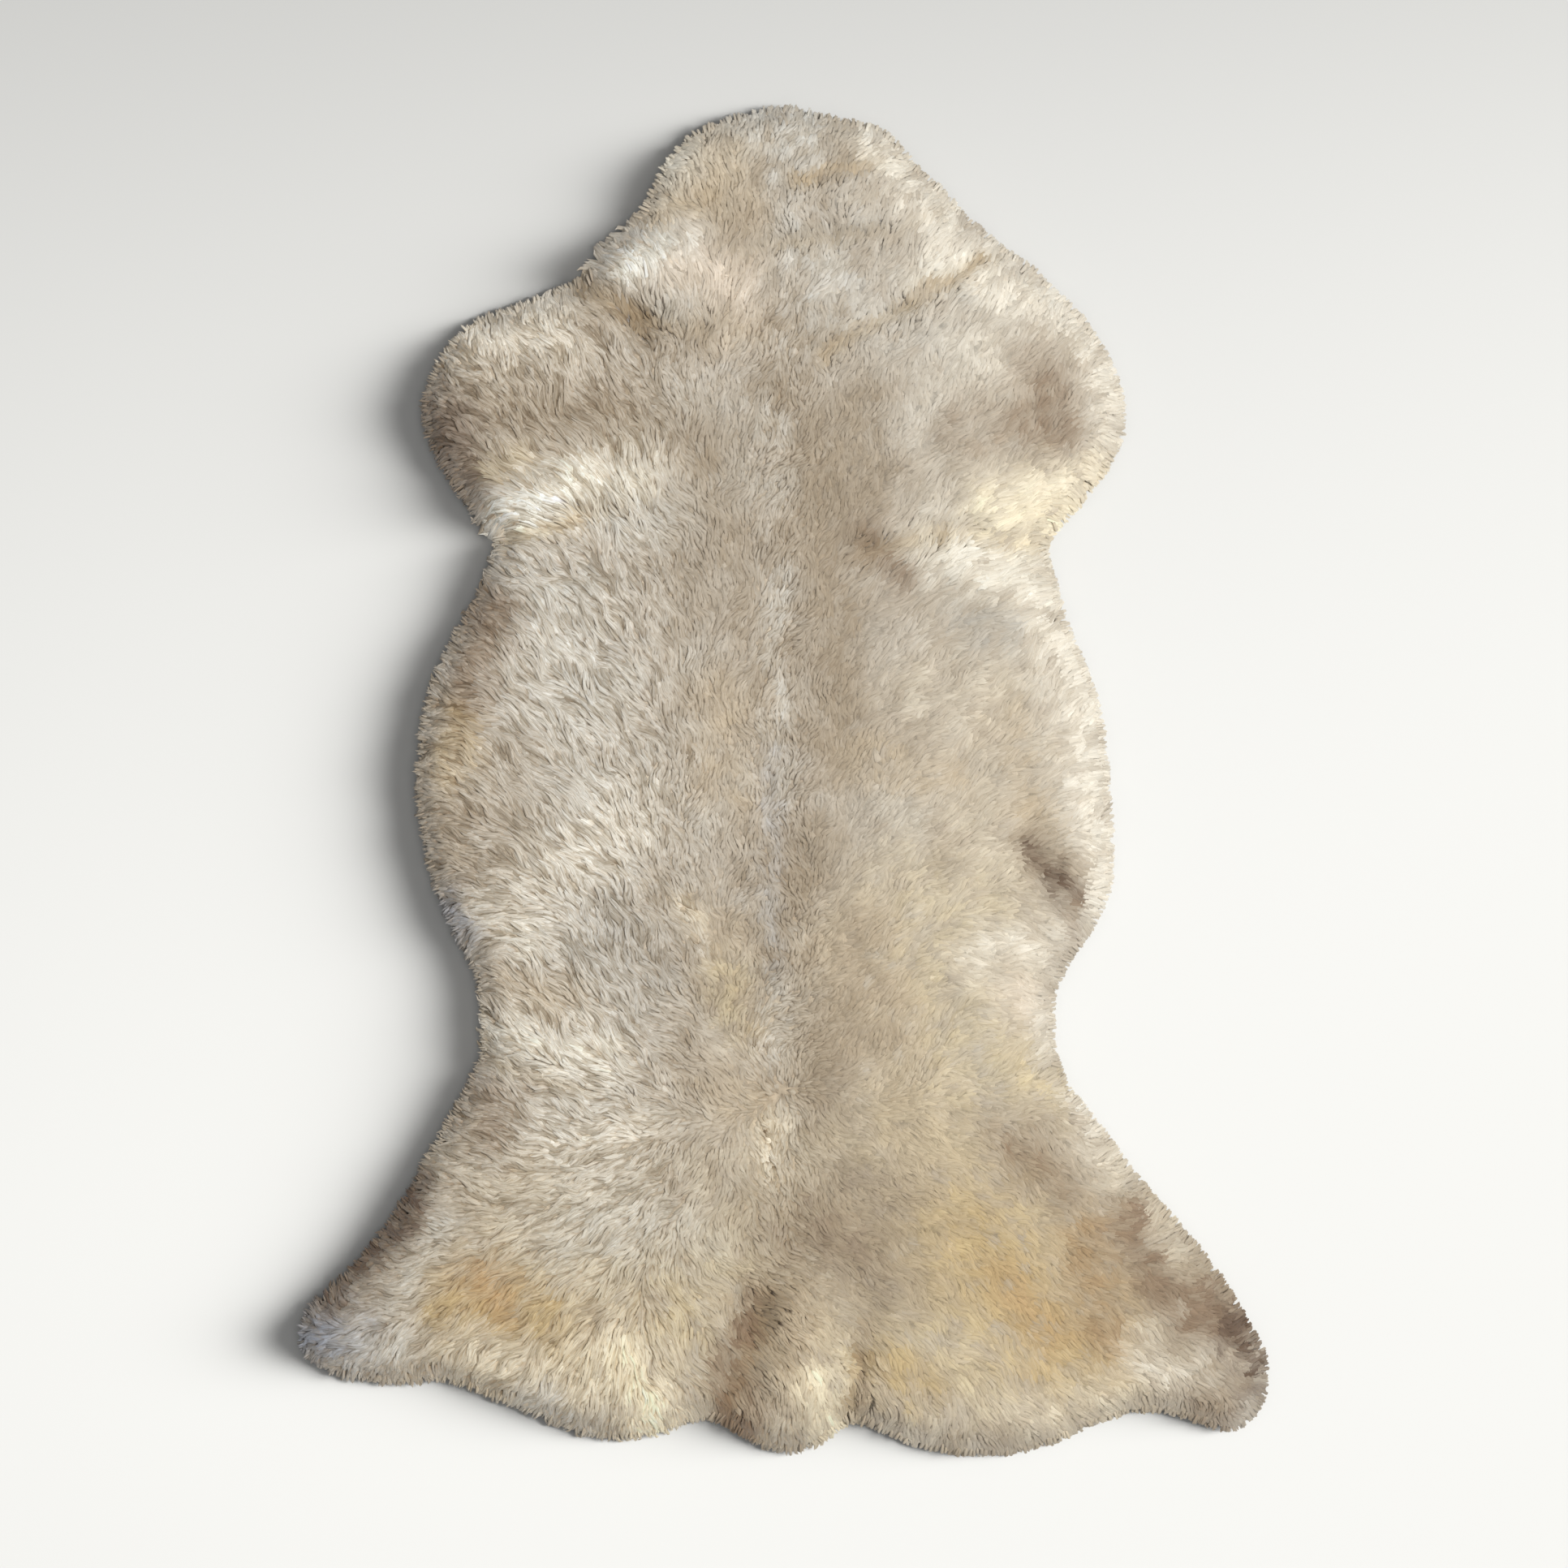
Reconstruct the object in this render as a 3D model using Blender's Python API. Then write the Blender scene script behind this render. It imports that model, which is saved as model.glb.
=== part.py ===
"""A whole sheepskin rug, lying flat with its wool up: the skin of one sheep, neck towards +Y, tail
towards -Y. It is one piece, so it is one solid: a lumpy slab of wool on its flat skin, with locks of
wool standing apart all round the rim. Metres, +Z up, origin on the floor under the rug's middle."""

import math
from collections import namedtuple

import bmesh
import bpy
from mathutils import Vector, noise
from mathutils.geometry import delaunay_2d_cdt

MM = 0.001

# Driving sizes, in millimetres
PILE = 34          # height of the wool over the middle of the skin
RIM_HEIGHT = 14    # height at which the wool stands out furthest
UNDERCUT = 6       # how far the skin's edge lies inside the rim
ROUNDING = 46      # width over which the wool rounds down to the rim
LOCK_REACH = 10    # how far the rim's locks stand out of the slab
LUMP_SIZE = 32     # spacing of the wool's lumps
LUMP_RISE = 3.6    # how far a lump rises or sinks
GRID = 16.5        # spacing of the slab's points
EDGE_STEP = 4      # spacing of the points read off the outline
FLAT_MERGE = 1e-4  # points of the slab closer than this would be joined

# The locks round the rim
LOCK_COUNT = 290
LOCK_TAPER = 0.64  # a lock's width at half its length, as a share of its root's
LOCK_DROOP = 0.72  # its height there, as a share of its root's
LOCK_SWAY = 0.9    # how far a lock may lean sideways, as a share of its reach
LOCK_UNEVEN = 0.4  # how much longer or shorter than the others a lock may be
SWAY_PACE = 0.61   # steps of the noise from one lock to the next
REACH_PACE = 0.83

CORNER_SOFTENING = 3  # rounds of smoothing that take the corners off the outline
INSET_KEPT = 0.96     # share of an inset's depth that its points keep from the outline

# The wool's outline, clockwise from the left of the neck. Each row is one arc: the point where it
# ends, and how far its middle bulges outwards from the straight line (inwards if negative).
Arc = namedtuple("Arc", "name x y bulge")
OUTLINE = [
    Arc("left of the neck", -114, 430, 2),
    Arc("left cheek", -78, 498, 3),
    Arc("crown", -2, 524, 3),
    Arc("dip beside the crown", 48, 511, 2),
    Arc("right cheek", 95, 494, 6),
    Arc("nick under the right cheek", 101, 477, 0),
    Arc("right of the neck", 150, 430, 4),
    Arc("nick at the neck's root", 168, 414, 4),
    Arc("top of the right shoulder", 211, 381, 4),
    Arc("right foreleg", 269, 276, 13),
    Arc("right armpit", 203, 186, 9),
    Arc("right ribs", 224, 115, 0),
    Arc("right flank", 250, 46, 2),
    Arc("right belly", 259, -55, 0),
    Arc("under the right belly", 221, -142, 10),
    Arc("right waist", 225, -241, -13),
    Arc("right hip", 274, -305, 2),
    Arc("right hind leg", 380, -452, 8),
    Arc("right heel", 349, -510, 10),
    Arc("inside the right heel", 322, -496, 0),
    Arc("right haunch, outer end", 224, -509, -12),
    Arc("right haunch", 70, -501, 19),
    Arc("nick right of the tail", 53, -492, 0),
    Arc("tail", 2, -524, 8),
    Arc("nick left of the tail", -58, -491, 2),
    Arc("left haunch", -173, -501, 15),
    Arc("left haunch, outer end", -249, -468, 0),
    Arc("tuft at the left heel", -288, -470, -4),
    Arc("left heel", -356, -460, 1),
    Arc("left hind leg", -380, -422, 5),
    Arc("left shin", -356, -397, 1),
    Arc("left hip", -286, -310, -5),
    Arc("top of the left hip", -235, -219, 0),
    Arc("left waist", -240, -143, -5),
    Arc("left belly", -284, -11, 9),
    Arc("left ribs", -239, 137, 14),
    Arc("left armpit", -218, 189, 0),
    Arc("tuft at the left armpit", -236, 203, 2),
    Arc("left foreleg", -282, 279, 5),
    Arc("top of the left shoulder", -242, 356, 9),
    Arc("root of the neck tuft", -145, 393, -1),
    Arc("neck tuft", -137, 416, 2),
]

# Swells and hollows of the wool, each along a line from its start to its end: width is the distance
# over which it fades, and rise is how far it lifts the wool (or lowers it if negative).
Fold = namedtuple("Fold", "name x0 y0 x1 y1 width rise")
FOLDS = [
    Fold("neck tuft", -129, 398, -41, 380, 26, 9),
    Fold("gutter under the neck tuft", -141, 386, -104, 355, 16, -8),
    Fold("upper neck wrinkle", 0, 408, 117, 424, 15, -5),
    Fold("swell over the wrinkle", 20, 440, 120, 450, 20, 4),
    Fold("lower neck wrinkle", 29, 329, 148, 398, 16, -6),
    Fold("right neck swell", 120, 402, 186, 367, 22, 4),
    Fold("left armpit tuft", -217, 213, -104, 235, 24, 9),
    Fold("crease under the left armpit", -204, 190, -72, 184, 16, -7),
    Fold("right armpit swell", 117, 168, 198, 155, 24, 7),
    Fold("crease at the right armpit", 41, 172, 98, 178, 20, -7),
    Fold("hollow of the right shoulder", 192, 298, 211, 266, 28, -5),
    Fold("spine groove", 2, 165, 0, -310, 16, -3),
    Fold("left rib swell", -229, -106, -129, 2, 30, 3),
    Fold("left waist swell", -230, -200, -129, -219, 22, 4),
    Fold("hollow of the right belly", 192, -49, 224, -93, 20, -7),
    Fold("rim swell of the right belly", 236, 71, 243, -61, 20, 3),
    Fold("tail swell", 13, -402, 16, -502, 24, 10),
    Fold("groove left of the tail", -22, -395, -25, -484, 20, -11),
    Fold("groove right of the tail", 63, -427, 54, -490, 15, -9),
    Fold("left haunch swell", -116, -427, -104, -490, 26, 4),
    Fold("right haunch swell", 120, -450, 200, -475, 30, 3),
    Fold("hollow of the right hind leg", 274, -364, 350, -427, 24, -4),
    Fold("right heel swell", 300, -439, 356, -465, 20, 4),
]


def smoothstep(share):
    """0 below 0, 1 above 1, and a smooth rise between them."""
    share = min(max(share, 0.0), 1.0)
    return share * share * (3 - 2 * share)


def arc_points(start, end, bulge):
    """Points along the arc from start towards end, the end left out."""
    chord = end - start
    left = Vector((-chord.y, chord.x)).normalized()
    steps = max(2, round(chord.length / EDGE_STEP))
    shares = [i / steps for i in range(steps)]
    return [start + chord * s + left * (4 * bulge * s * (1 - s)) for s in shares]


def spaced(loop, count):
    """The closed loop, read off again at count even steps."""
    ends = loop[1:] + loop[:1]
    lengths = [(b - a).length for a, b in zip(loop, ends)]
    step = sum(lengths) / count
    found, walked, index = [], 0.0, 0
    for i in range(count):
        while walked + lengths[index] < i * step:
            walked += lengths[index]
            index += 1
        share = (i * step - walked) / lengths[index]
        found.append(loop[index].lerp(ends[index], share))
    return found


def softened(loop, rounds):
    """The closed loop with its corners rounded."""
    for _ in range(rounds):
        before, after = loop[-1:] + loop[:-1], loop[1:] + loop[:1]
        loop = [(a + 2 * b + c) / 4 for a, b, c in zip(before, loop, after)]
    return loop


def wool_outline():
    """The outline that the tips of the rim's locks reach, clockwise as seen from above."""
    corners = [Vector((arc.x, arc.y)) for arc in OUTLINE]
    points = []
    for start, end, arc in zip(corners[-1:] + corners[:-1], corners, OUTLINE):
        points += arc_points(start, end, arc.bulge)
    length = sum((b - a).length for a, b in zip(points, points[1:] + points[:1]))
    return softened(spaced(points, round(length / EDGE_STEP)), CORNER_SOFTENING)


def inward(loop, i):
    """The direction that points from place i of a clockwise loop into the rug."""
    along = loop[(i + 1) % len(loop)] - loop[i - 1]
    return Vector((along.y, -along.x)).normalized()


def distance_to(loop, point):
    """How far a point is from the nearest stretch of a closed loop."""
    best = math.inf
    for a, b in zip(loop, loop[1:] + loop[:1]):
        stretch = b - a
        share = min(max((point - a).dot(stretch) / stretch.length_squared, 0.0), 1.0)
        best = min(best, (point - a - stretch * share).length_squared)
    return math.sqrt(best)


def inset(loop, depth):
    """The closed loop moved inwards, without the stretches that would cross in a tight corner."""
    moved = [p + inward(loop, i) * depth for i, p in enumerate(loop)]
    return [p for p in moved if distance_to(loop, p) > INSET_KEPT * depth]


def inside(loop, point):
    """Whether a point lies inside a closed loop."""
    found = False
    for a, b in zip(loop, loop[1:] + loop[:1]):
        if (a.y > point.y) != (b.y > point.y):
            crossing = a.x + (point.y - a.y) * (b.x - a.x) / (b.y - a.y)
            found ^= point.x < crossing
    return found


def fold_rise(point):
    """How far the swells and hollows lift the wool at a point."""
    rise = 0.0
    for fold in FOLDS:
        start, end = Vector((fold.x0, fold.y0)), Vector((fold.x1, fold.y1))
        along = end - start
        share = min(max((point - start).dot(along) / along.length_squared, 0.0), 1.0)
        away = (point - start - along * share).length / fold.width
        rise += fold.rise * math.exp(-away * away)
    return rise


def wool_height(point, from_rim):
    """Height of the wool's top at a point that lies from_rim inside the slab's rim."""
    inwards = min(from_rim / ROUNDING, 1.0)
    crown = math.sqrt(1 - (1 - inwards) ** 2)
    lump = noise.noise(Vector((point.x, point.y, 0)) / LUMP_SIZE) * 2 * LUMP_RISE
    uneven = (fold_rise(point) + lump) * smoothstep(inwards)
    return RIM_HEIGHT + (PILE - RIM_HEIGHT) * crown + uneven


def top_points(rim):
    """Points of the slab's top inside the rim, each with its distance from it."""
    low = Vector((min(p.x for p in rim), min(p.y for p in rim)))
    high = Vector((max(p.x for p in rim), max(p.y for p in rim)))
    row_step = GRID * math.sqrt(3) / 2
    found = []
    for depth in (GRID * 0.3, GRID * 0.8):
        found += [(p, depth) for p in spaced(inset(rim, depth), LOCK_COUNT * 3 // 4)]
    for row in range(int((high.y - low.y) / row_step) + 1):
        for column in range(int((high.x - low.x) / GRID) + 1):
            point = low + Vector(((column + row % 2 / 2) * GRID, row * row_step))
            if not inside(rim, point):
                continue
            from_rim = distance_to(rim, point)
            if from_rim > GRID * 1.4:
                found.append((point, from_rim))
    return found


def add_top(bm, rim_verts, rim):
    """Fills the rim with the lumpy top of the wool."""
    inner = top_points(rim)
    flat = rim + [p for p, _ in inner]
    edges = [(i, (i + 1) % len(rim)) for i in range(len(rim))]
    flat, _, faces, *_ = delaunay_2d_cdt(flat, edges, [], 1, FLAT_MERGE)
    verts = list(rim_verts)
    for point, from_rim in inner:
        height = wool_height(point, from_rim)
        verts.append(bm.verts.new(Vector((point.x, point.y, height)) * MM))
    for face in faces:
        bm.faces.new([verts[i] for i in face])


def add_locks(bm, walls, rim):
    """Draws each face of the rim's wall out into one lock, which stands apart from its neighbours
    and lies down on the floor."""
    middles = bmesh.ops.extrude_discrete_faces(bm, faces=walls)["faces"]
    halves = []
    for i, face in enumerate(middles):
        out = -inward(rim, i)
        sway = LOCK_SWAY * noise.noise(Vector((i * SWAY_PACE, 3.3, 0)))
        out = (out + Vector((-out.y, out.x)) * sway).normalized()
        uneven = LOCK_UNEVEN * 2 * noise.noise(Vector((i * REACH_PACE, 0, 7.7)))
        half = out * (LOCK_REACH * (1 + uneven) + UNDERCUT / 2) / 2 * MM
        halves.append(half)
        centre = face.calc_center_median().xy
        for vert in face.verts:
            vert.co.xy = centre + (vert.co.xy - centre) * LOCK_TAPER + half
            vert.co.z *= LOCK_DROOP
    tips = bmesh.ops.extrude_discrete_faces(bm, faces=middles)["faces"]
    for face, half in zip(tips, halves):
        tip = (face.calc_center_median().xy + half).to_3d()
        bmesh.ops.pointmerge(bm, verts=face.verts, merge_co=tip)


def sheepskin():
    """The whole rug as one closed mesh, centred over the origin."""
    rim = softened(spaced(inset(wool_outline(), LOCK_REACH), LOCK_COUNT), 1)
    skin = softened([p + inward(rim, i) * UNDERCUT for i, p in enumerate(rim)], 1)
    bm = bmesh.new()
    rim_verts = [bm.verts.new(Vector((p.x, p.y, RIM_HEIGHT)) * MM) for p in rim]
    skin_verts = [bm.verts.new(Vector((p.x, p.y, 0)) * MM) for p in skin]
    walls = []
    for i in range(LOCK_COUNT):
        j = (i + 1) % LOCK_COUNT
        walls.append(bm.faces.new([skin_verts[i], rim_verts[i], rim_verts[j], skin_verts[j]]))
    underside = bm.faces.new(skin_verts)
    add_top(bm, rim_verts, rim)
    add_locks(bm, walls, rim)
    bmesh.ops.triangulate(bm, faces=[underside], ngon_method="BEAUTY")
    bmesh.ops.recalc_face_normals(bm, faces=bm.faces)
    low = Vector((min(v.co.x for v in bm.verts), min(v.co.y for v in bm.verts), 0))
    high = Vector((max(v.co.x for v in bm.verts), max(v.co.y for v in bm.verts), 0))
    bmesh.ops.translate(bm, verts=bm.verts, vec=-(low + high) / 2)
    mesh = bpy.data.meshes.new("sheepskin")
    bm.to_mesh(mesh)
    bm.free()
    mesh.shade_smooth()
    mesh.set_sharp_from_angle(angle=math.radians(50))
    return mesh


def wool():
    """Undyed wool, matt and warm beige."""
    material = bpy.data.materials.new("wool")
    material.use_nodes = True
    shader = material.node_tree.nodes["Principled BSDF"]
    shader.inputs["Base Color"].default_value = (0.55, 0.47, 0.36, 1)
    shader.inputs["Roughness"].default_value = 0.9
    shader.inputs["Metallic"].default_value = 0.0
    return material


for leftover in list(bpy.data.objects):
    bpy.data.objects.remove(leftover)
rug = bpy.data.objects.new("sheepskin", sheepskin())
rug.data.materials.append(wool())
bpy.context.scene.collection.objects.link(rug)
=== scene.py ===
"""A whole sheepskin rug lying flat with its wool up, seen from straight above. Its wool is made lock
by lock on a thin tanned skin. Metres, +Z up, the neck towards +Y. The tables and the named sizes
are in millimetres, where they don't say otherwise."""

import math
from collections import namedtuple

import bmesh
import bpy
import numpy as np
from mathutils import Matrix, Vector
from mathutils.bvhtree import BVHTree
from mathutils.kdtree import KDTree


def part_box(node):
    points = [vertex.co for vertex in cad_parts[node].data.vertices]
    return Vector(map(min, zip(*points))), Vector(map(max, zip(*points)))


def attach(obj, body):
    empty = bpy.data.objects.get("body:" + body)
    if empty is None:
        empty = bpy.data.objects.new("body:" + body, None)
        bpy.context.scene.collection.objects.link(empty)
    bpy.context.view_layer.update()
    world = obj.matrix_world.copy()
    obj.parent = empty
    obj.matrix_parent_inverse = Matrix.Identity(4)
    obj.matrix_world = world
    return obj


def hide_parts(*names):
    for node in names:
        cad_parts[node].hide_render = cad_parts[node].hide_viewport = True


MM = 0.001

SLAB_EDGE = 13   # the slab is this high at its rim, and its locks lie lower
OVERHANG = 10    # how far the rim's locks reach out of the slab
SKIN = 2         # thickness of the tanned skin
BANDS = ("left_rim_wool", "left_flank_wool", "back_wool", "right_flank_wool", "right_rim_wool")

# How the wool lies: where its locks' tips point (degrees, 0 to the right and 90 towards the neck),
# how far they reach over, and how far they stray from that heading.
Lay = namedtuple("Lay", "name x y heading reach stray")
LAYS = [Lay(*row) for row in (
    ("crown", 0, 510, 85, 9, 22),
    ("left cheek", -80, 480, 116, 10, 22),
    ("right cheek", 88, 480, 54, 10, 22),
    ("left of the neck", -85, 440, 114, 9, 22),
    ("middle of the neck", 0, 430, 84, 8, 28),
    ("right of the neck", 130, 435, 52, 11, 20),
    ("tips of the neck tuft", -130, 408, 137, 24, 8),
    ("neck tuft", -98, 398, 116, 18, 12),
    ("root of the neck tuft", -50, 385, 92, 14, 18),
    ("right of the neck tuft", 0, 380, 66, 9, 26),
    ("foot of the neck", 50, 360, 60, 10, 22),
    ("right neck swell", 150, 385, 62, 13, 18),
    ("top of the left shoulder", -205, 350, 127, 13, 16),
    ("left shoulder", -145, 325, 128, 13, 16),
    ("under the neck tuft", -80, 345, 94, 10, 26),
    ("between the shoulders", -20, 315, 76, 9, 34),
    ("left foreleg", -250, 285, 138, 11, 18),
    ("left elbow", -200, 280, 132, 12, 18),
    ("inside the left shoulder", -100, 285, 119, 11, 22),
    ("under the left foreleg", -250, 235, 150, 12, 18),
    ("right of the shoulders", 60, 290, 82, 9, 28),
    ("top of the right shoulder", 215, 345, 50, 11, 20),
    ("right shoulder", 130, 315, 72, 10, 22),
    ("right elbow", 190, 285, 50, 11, 20),
    ("right foreleg", 255, 285, 36, 11, 20),
    ("under the right foreleg", 235, 232, 32, 11, 18),
    ("tips of the left armpit tuft", -215, 204, 190, 24, 8),
    ("left armpit tuft", -178, 220, 152, 21, 10),
    ("top of the left armpit tuft", -135, 235, 124, 19, 12),
    ("root of the left armpit tuft", -95, 235, 112, 14, 18),
    ("under the left armpit", -165, 180, 140, 14, 20),
    ("inside the left armpit", -90, 190, 128, 12, 22),
    ("withers", -15, 225, 80, 8, 38),
    ("right of the withers", 60, 230, 66, 9, 26),
    ("root of the right armpit", 120, 225, 50, 11, 20),
    ("right armpit", 195, 190, 33, 14, 16),
    ("right armpit fold", 165, 155, 14, 16, 14),
    ("root of the right armpit fold", 95, 150, 40, 14, 18),
    ("rim of the left ribs", -235, 110, 142, 13, 16),
    ("left ribs", -160, 110, 135, 17, 14),
    ("left of the back", -90, 120, 124, 13, 20),
    ("back", -30, 100, 66, 9, 34),
    ("right of the back", 40, 100, 64, 9, 30),
    ("right ribs", 100, 90, 44, 12, 20),
    ("rim of the right ribs", 205, 80, 48, 12, 16),
    ("rim of the left flank", -262, 20, 155, 12, 16),
    ("left flank", -195, 30, 138, 17, 14),
    ("inside the left flank", -130, 35, 140, 14, 18),
    ("left of the middle", -80, -10, 86, 10, 28),
    ("middle of the back", -10, 0, 98, 8, 42),
    ("right of the middle", 50, 0, 68, 9, 30),
    ("right flank", 125, 10, 38, 13, 18),
    ("rim of the right flank", 215, 5, 24, 12, 16),
    ("rim of the left belly", -250, -60, 166, 13, 16),
    ("left belly", -165, -55, 132, 16, 16),
    ("bottom of the left belly", -212, -112, 180, 14, 16),
    ("left of the loin", -130, -125, 118, 13, 20),
    ("inside the left of the loin", -75, -120, 130, 10, 28),
    ("loin", -15, -90, 80, 8, 40),
    ("right of the loin", 60, -110, 48, 10, 26),
    ("right belly", 140, -70, 24, 13, 18),
    ("rim of the right belly", 215, -90, -17, 12, 16),
    ("bottom of the right belly", 165, -145, -8, 13, 18),
    ("above the left waist", -170, -170, 134, 14, 18),
    ("left waist", -200, -205, 146, 15, 14),
    ("inside the left waist", -120, -205, 139, 14, 18),
    ("croup", -5, -165, 50, 8, 38),
    ("left of the croup", -55, -220, 140, 10, 28),
    ("right of the croup", 85, -205, 62, 10, 24),
    ("right waist", 175, -215, 22, 12, 18),
    ("under the left waist", -180, -248, 156, 13, 18),
    ("left hip", -225, -292, 176, 13, 18),
    ("inside the left hip", -140, -292, 202, 12, 20),
    ("left of the rump", -80, -300, 232, 10, 26),
    ("rump", 0, -295, 292, 9, 34),
    ("right of the rump", 75, -290, 326, 10, 26),
    ("right hip", 145, -285, 342, 12, 20),
    ("rim of the right hip", 215, -290, 320, 12, 18),
    ("above the left hind leg", -260, -335, 176, 12, 20),
    ("left thigh", -150, -335, 218, 13, 18),
    ("left hind leg", -305, -380, 182, 12, 20),
    ("left heel", -355, -425, 192, 12, 20),
    ("foot of the left hind leg", -290, -430, 220, 13, 18),
    ("left haunch", -215, -385, 213, 15, 16),
    ("rim of the left haunch", -210, -450, 231, 15, 14),
    ("left fan", -150, -400, 228, 15, 16),
    ("rim of the left fan", -132, -475, 260, 16, 12),
    ("left fan, inside", -80, -430, 304, 15, 16),
    ("left of the tail", -42, -390, 312, 11, 20),
    ("root of the tail", 5, -370, 314, 10, 22),
    ("tail", 15, -445, 300, 13, 16),
    ("tip of the tail", 15, -497, 272, 15, 14),
    ("right of the tail", 65, -365, 322, 11, 20),
    ("right fan", 110, -410, 317, 13, 18),
    ("rim of the right fan", 100, -485, 292, 14, 14),
    ("right thigh", 235, -345, 330, 12, 20),
    ("right haunch", 180, -375, 315, 13, 16),
    ("rim of the right haunch", 180, -480, 305, 14, 14),
    ("under the right haunch", 250, -430, 314, 13, 18),
    ("right hind leg", 285, -365, 352, 12, 20),
    ("right shin", 310, -425, 328, 13, 20),
    ("right heel", 365, -440, 322, 12, 20),
    ("foot of the right hind leg", 345, -495, 312, 12, 20),
)]

# Undyed wool and tanned skin, as they look in even light
COLOURS = {
    "greige": (190, 180, 165),
    "light grey": (205, 200, 189),
    "grey": (170, 165, 156),
    "blue grey": (156, 160, 170),
    "white": (236, 233, 222),
    "bright cream": (244, 232, 202),
    "white cream": (230, 223, 207),
    "light cream": (230, 222, 206),
    "cream": (226, 214, 190),
    "peach": (228, 213, 194),
    "golden": (206, 189, 153),
    "honey": (190, 167, 124),
    "ochre": (186, 153, 110),
    "tan": (188, 171, 145),
    "taupe": (162, 147, 126),
    "rust": (164, 138, 104),
    "brown": (140, 119, 97),
    "dark brown": (104, 85, 69),
    "dark suede": (186, 168, 140),
    "pale suede": (221, 208, 184),
}
ROOT_SHADE = np.array((0.70, 0.62, 0.54))   # painted shade at a lock's root, against its ridge
SIDE_SHADE = np.array((0.80, 0.76, 0.70))   # painted shade along a lock's sides, against its ridge
STREAK_LIGHT_AND_SHADE = np.array((0.13, 0.155, 0.195))   # painted light on a ridge along the wool, and painted shade in a valley
MOTTLE_TINT = np.array((0.035, 0.045, 0.06))   # how much lighter or darker it mottles
PARTING_SHADE = np.array((0.14, 0.2, 0.3))      # painted shade, how much darker the wool is where it parts
UNDERCOAT_SHADE = np.array((1.0, 0.94, 0.86))   # painted shade on the undercoat, against the wool over it
GAIN = 0.92   # a lock's own colour against what the wool looks like in even light
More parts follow.
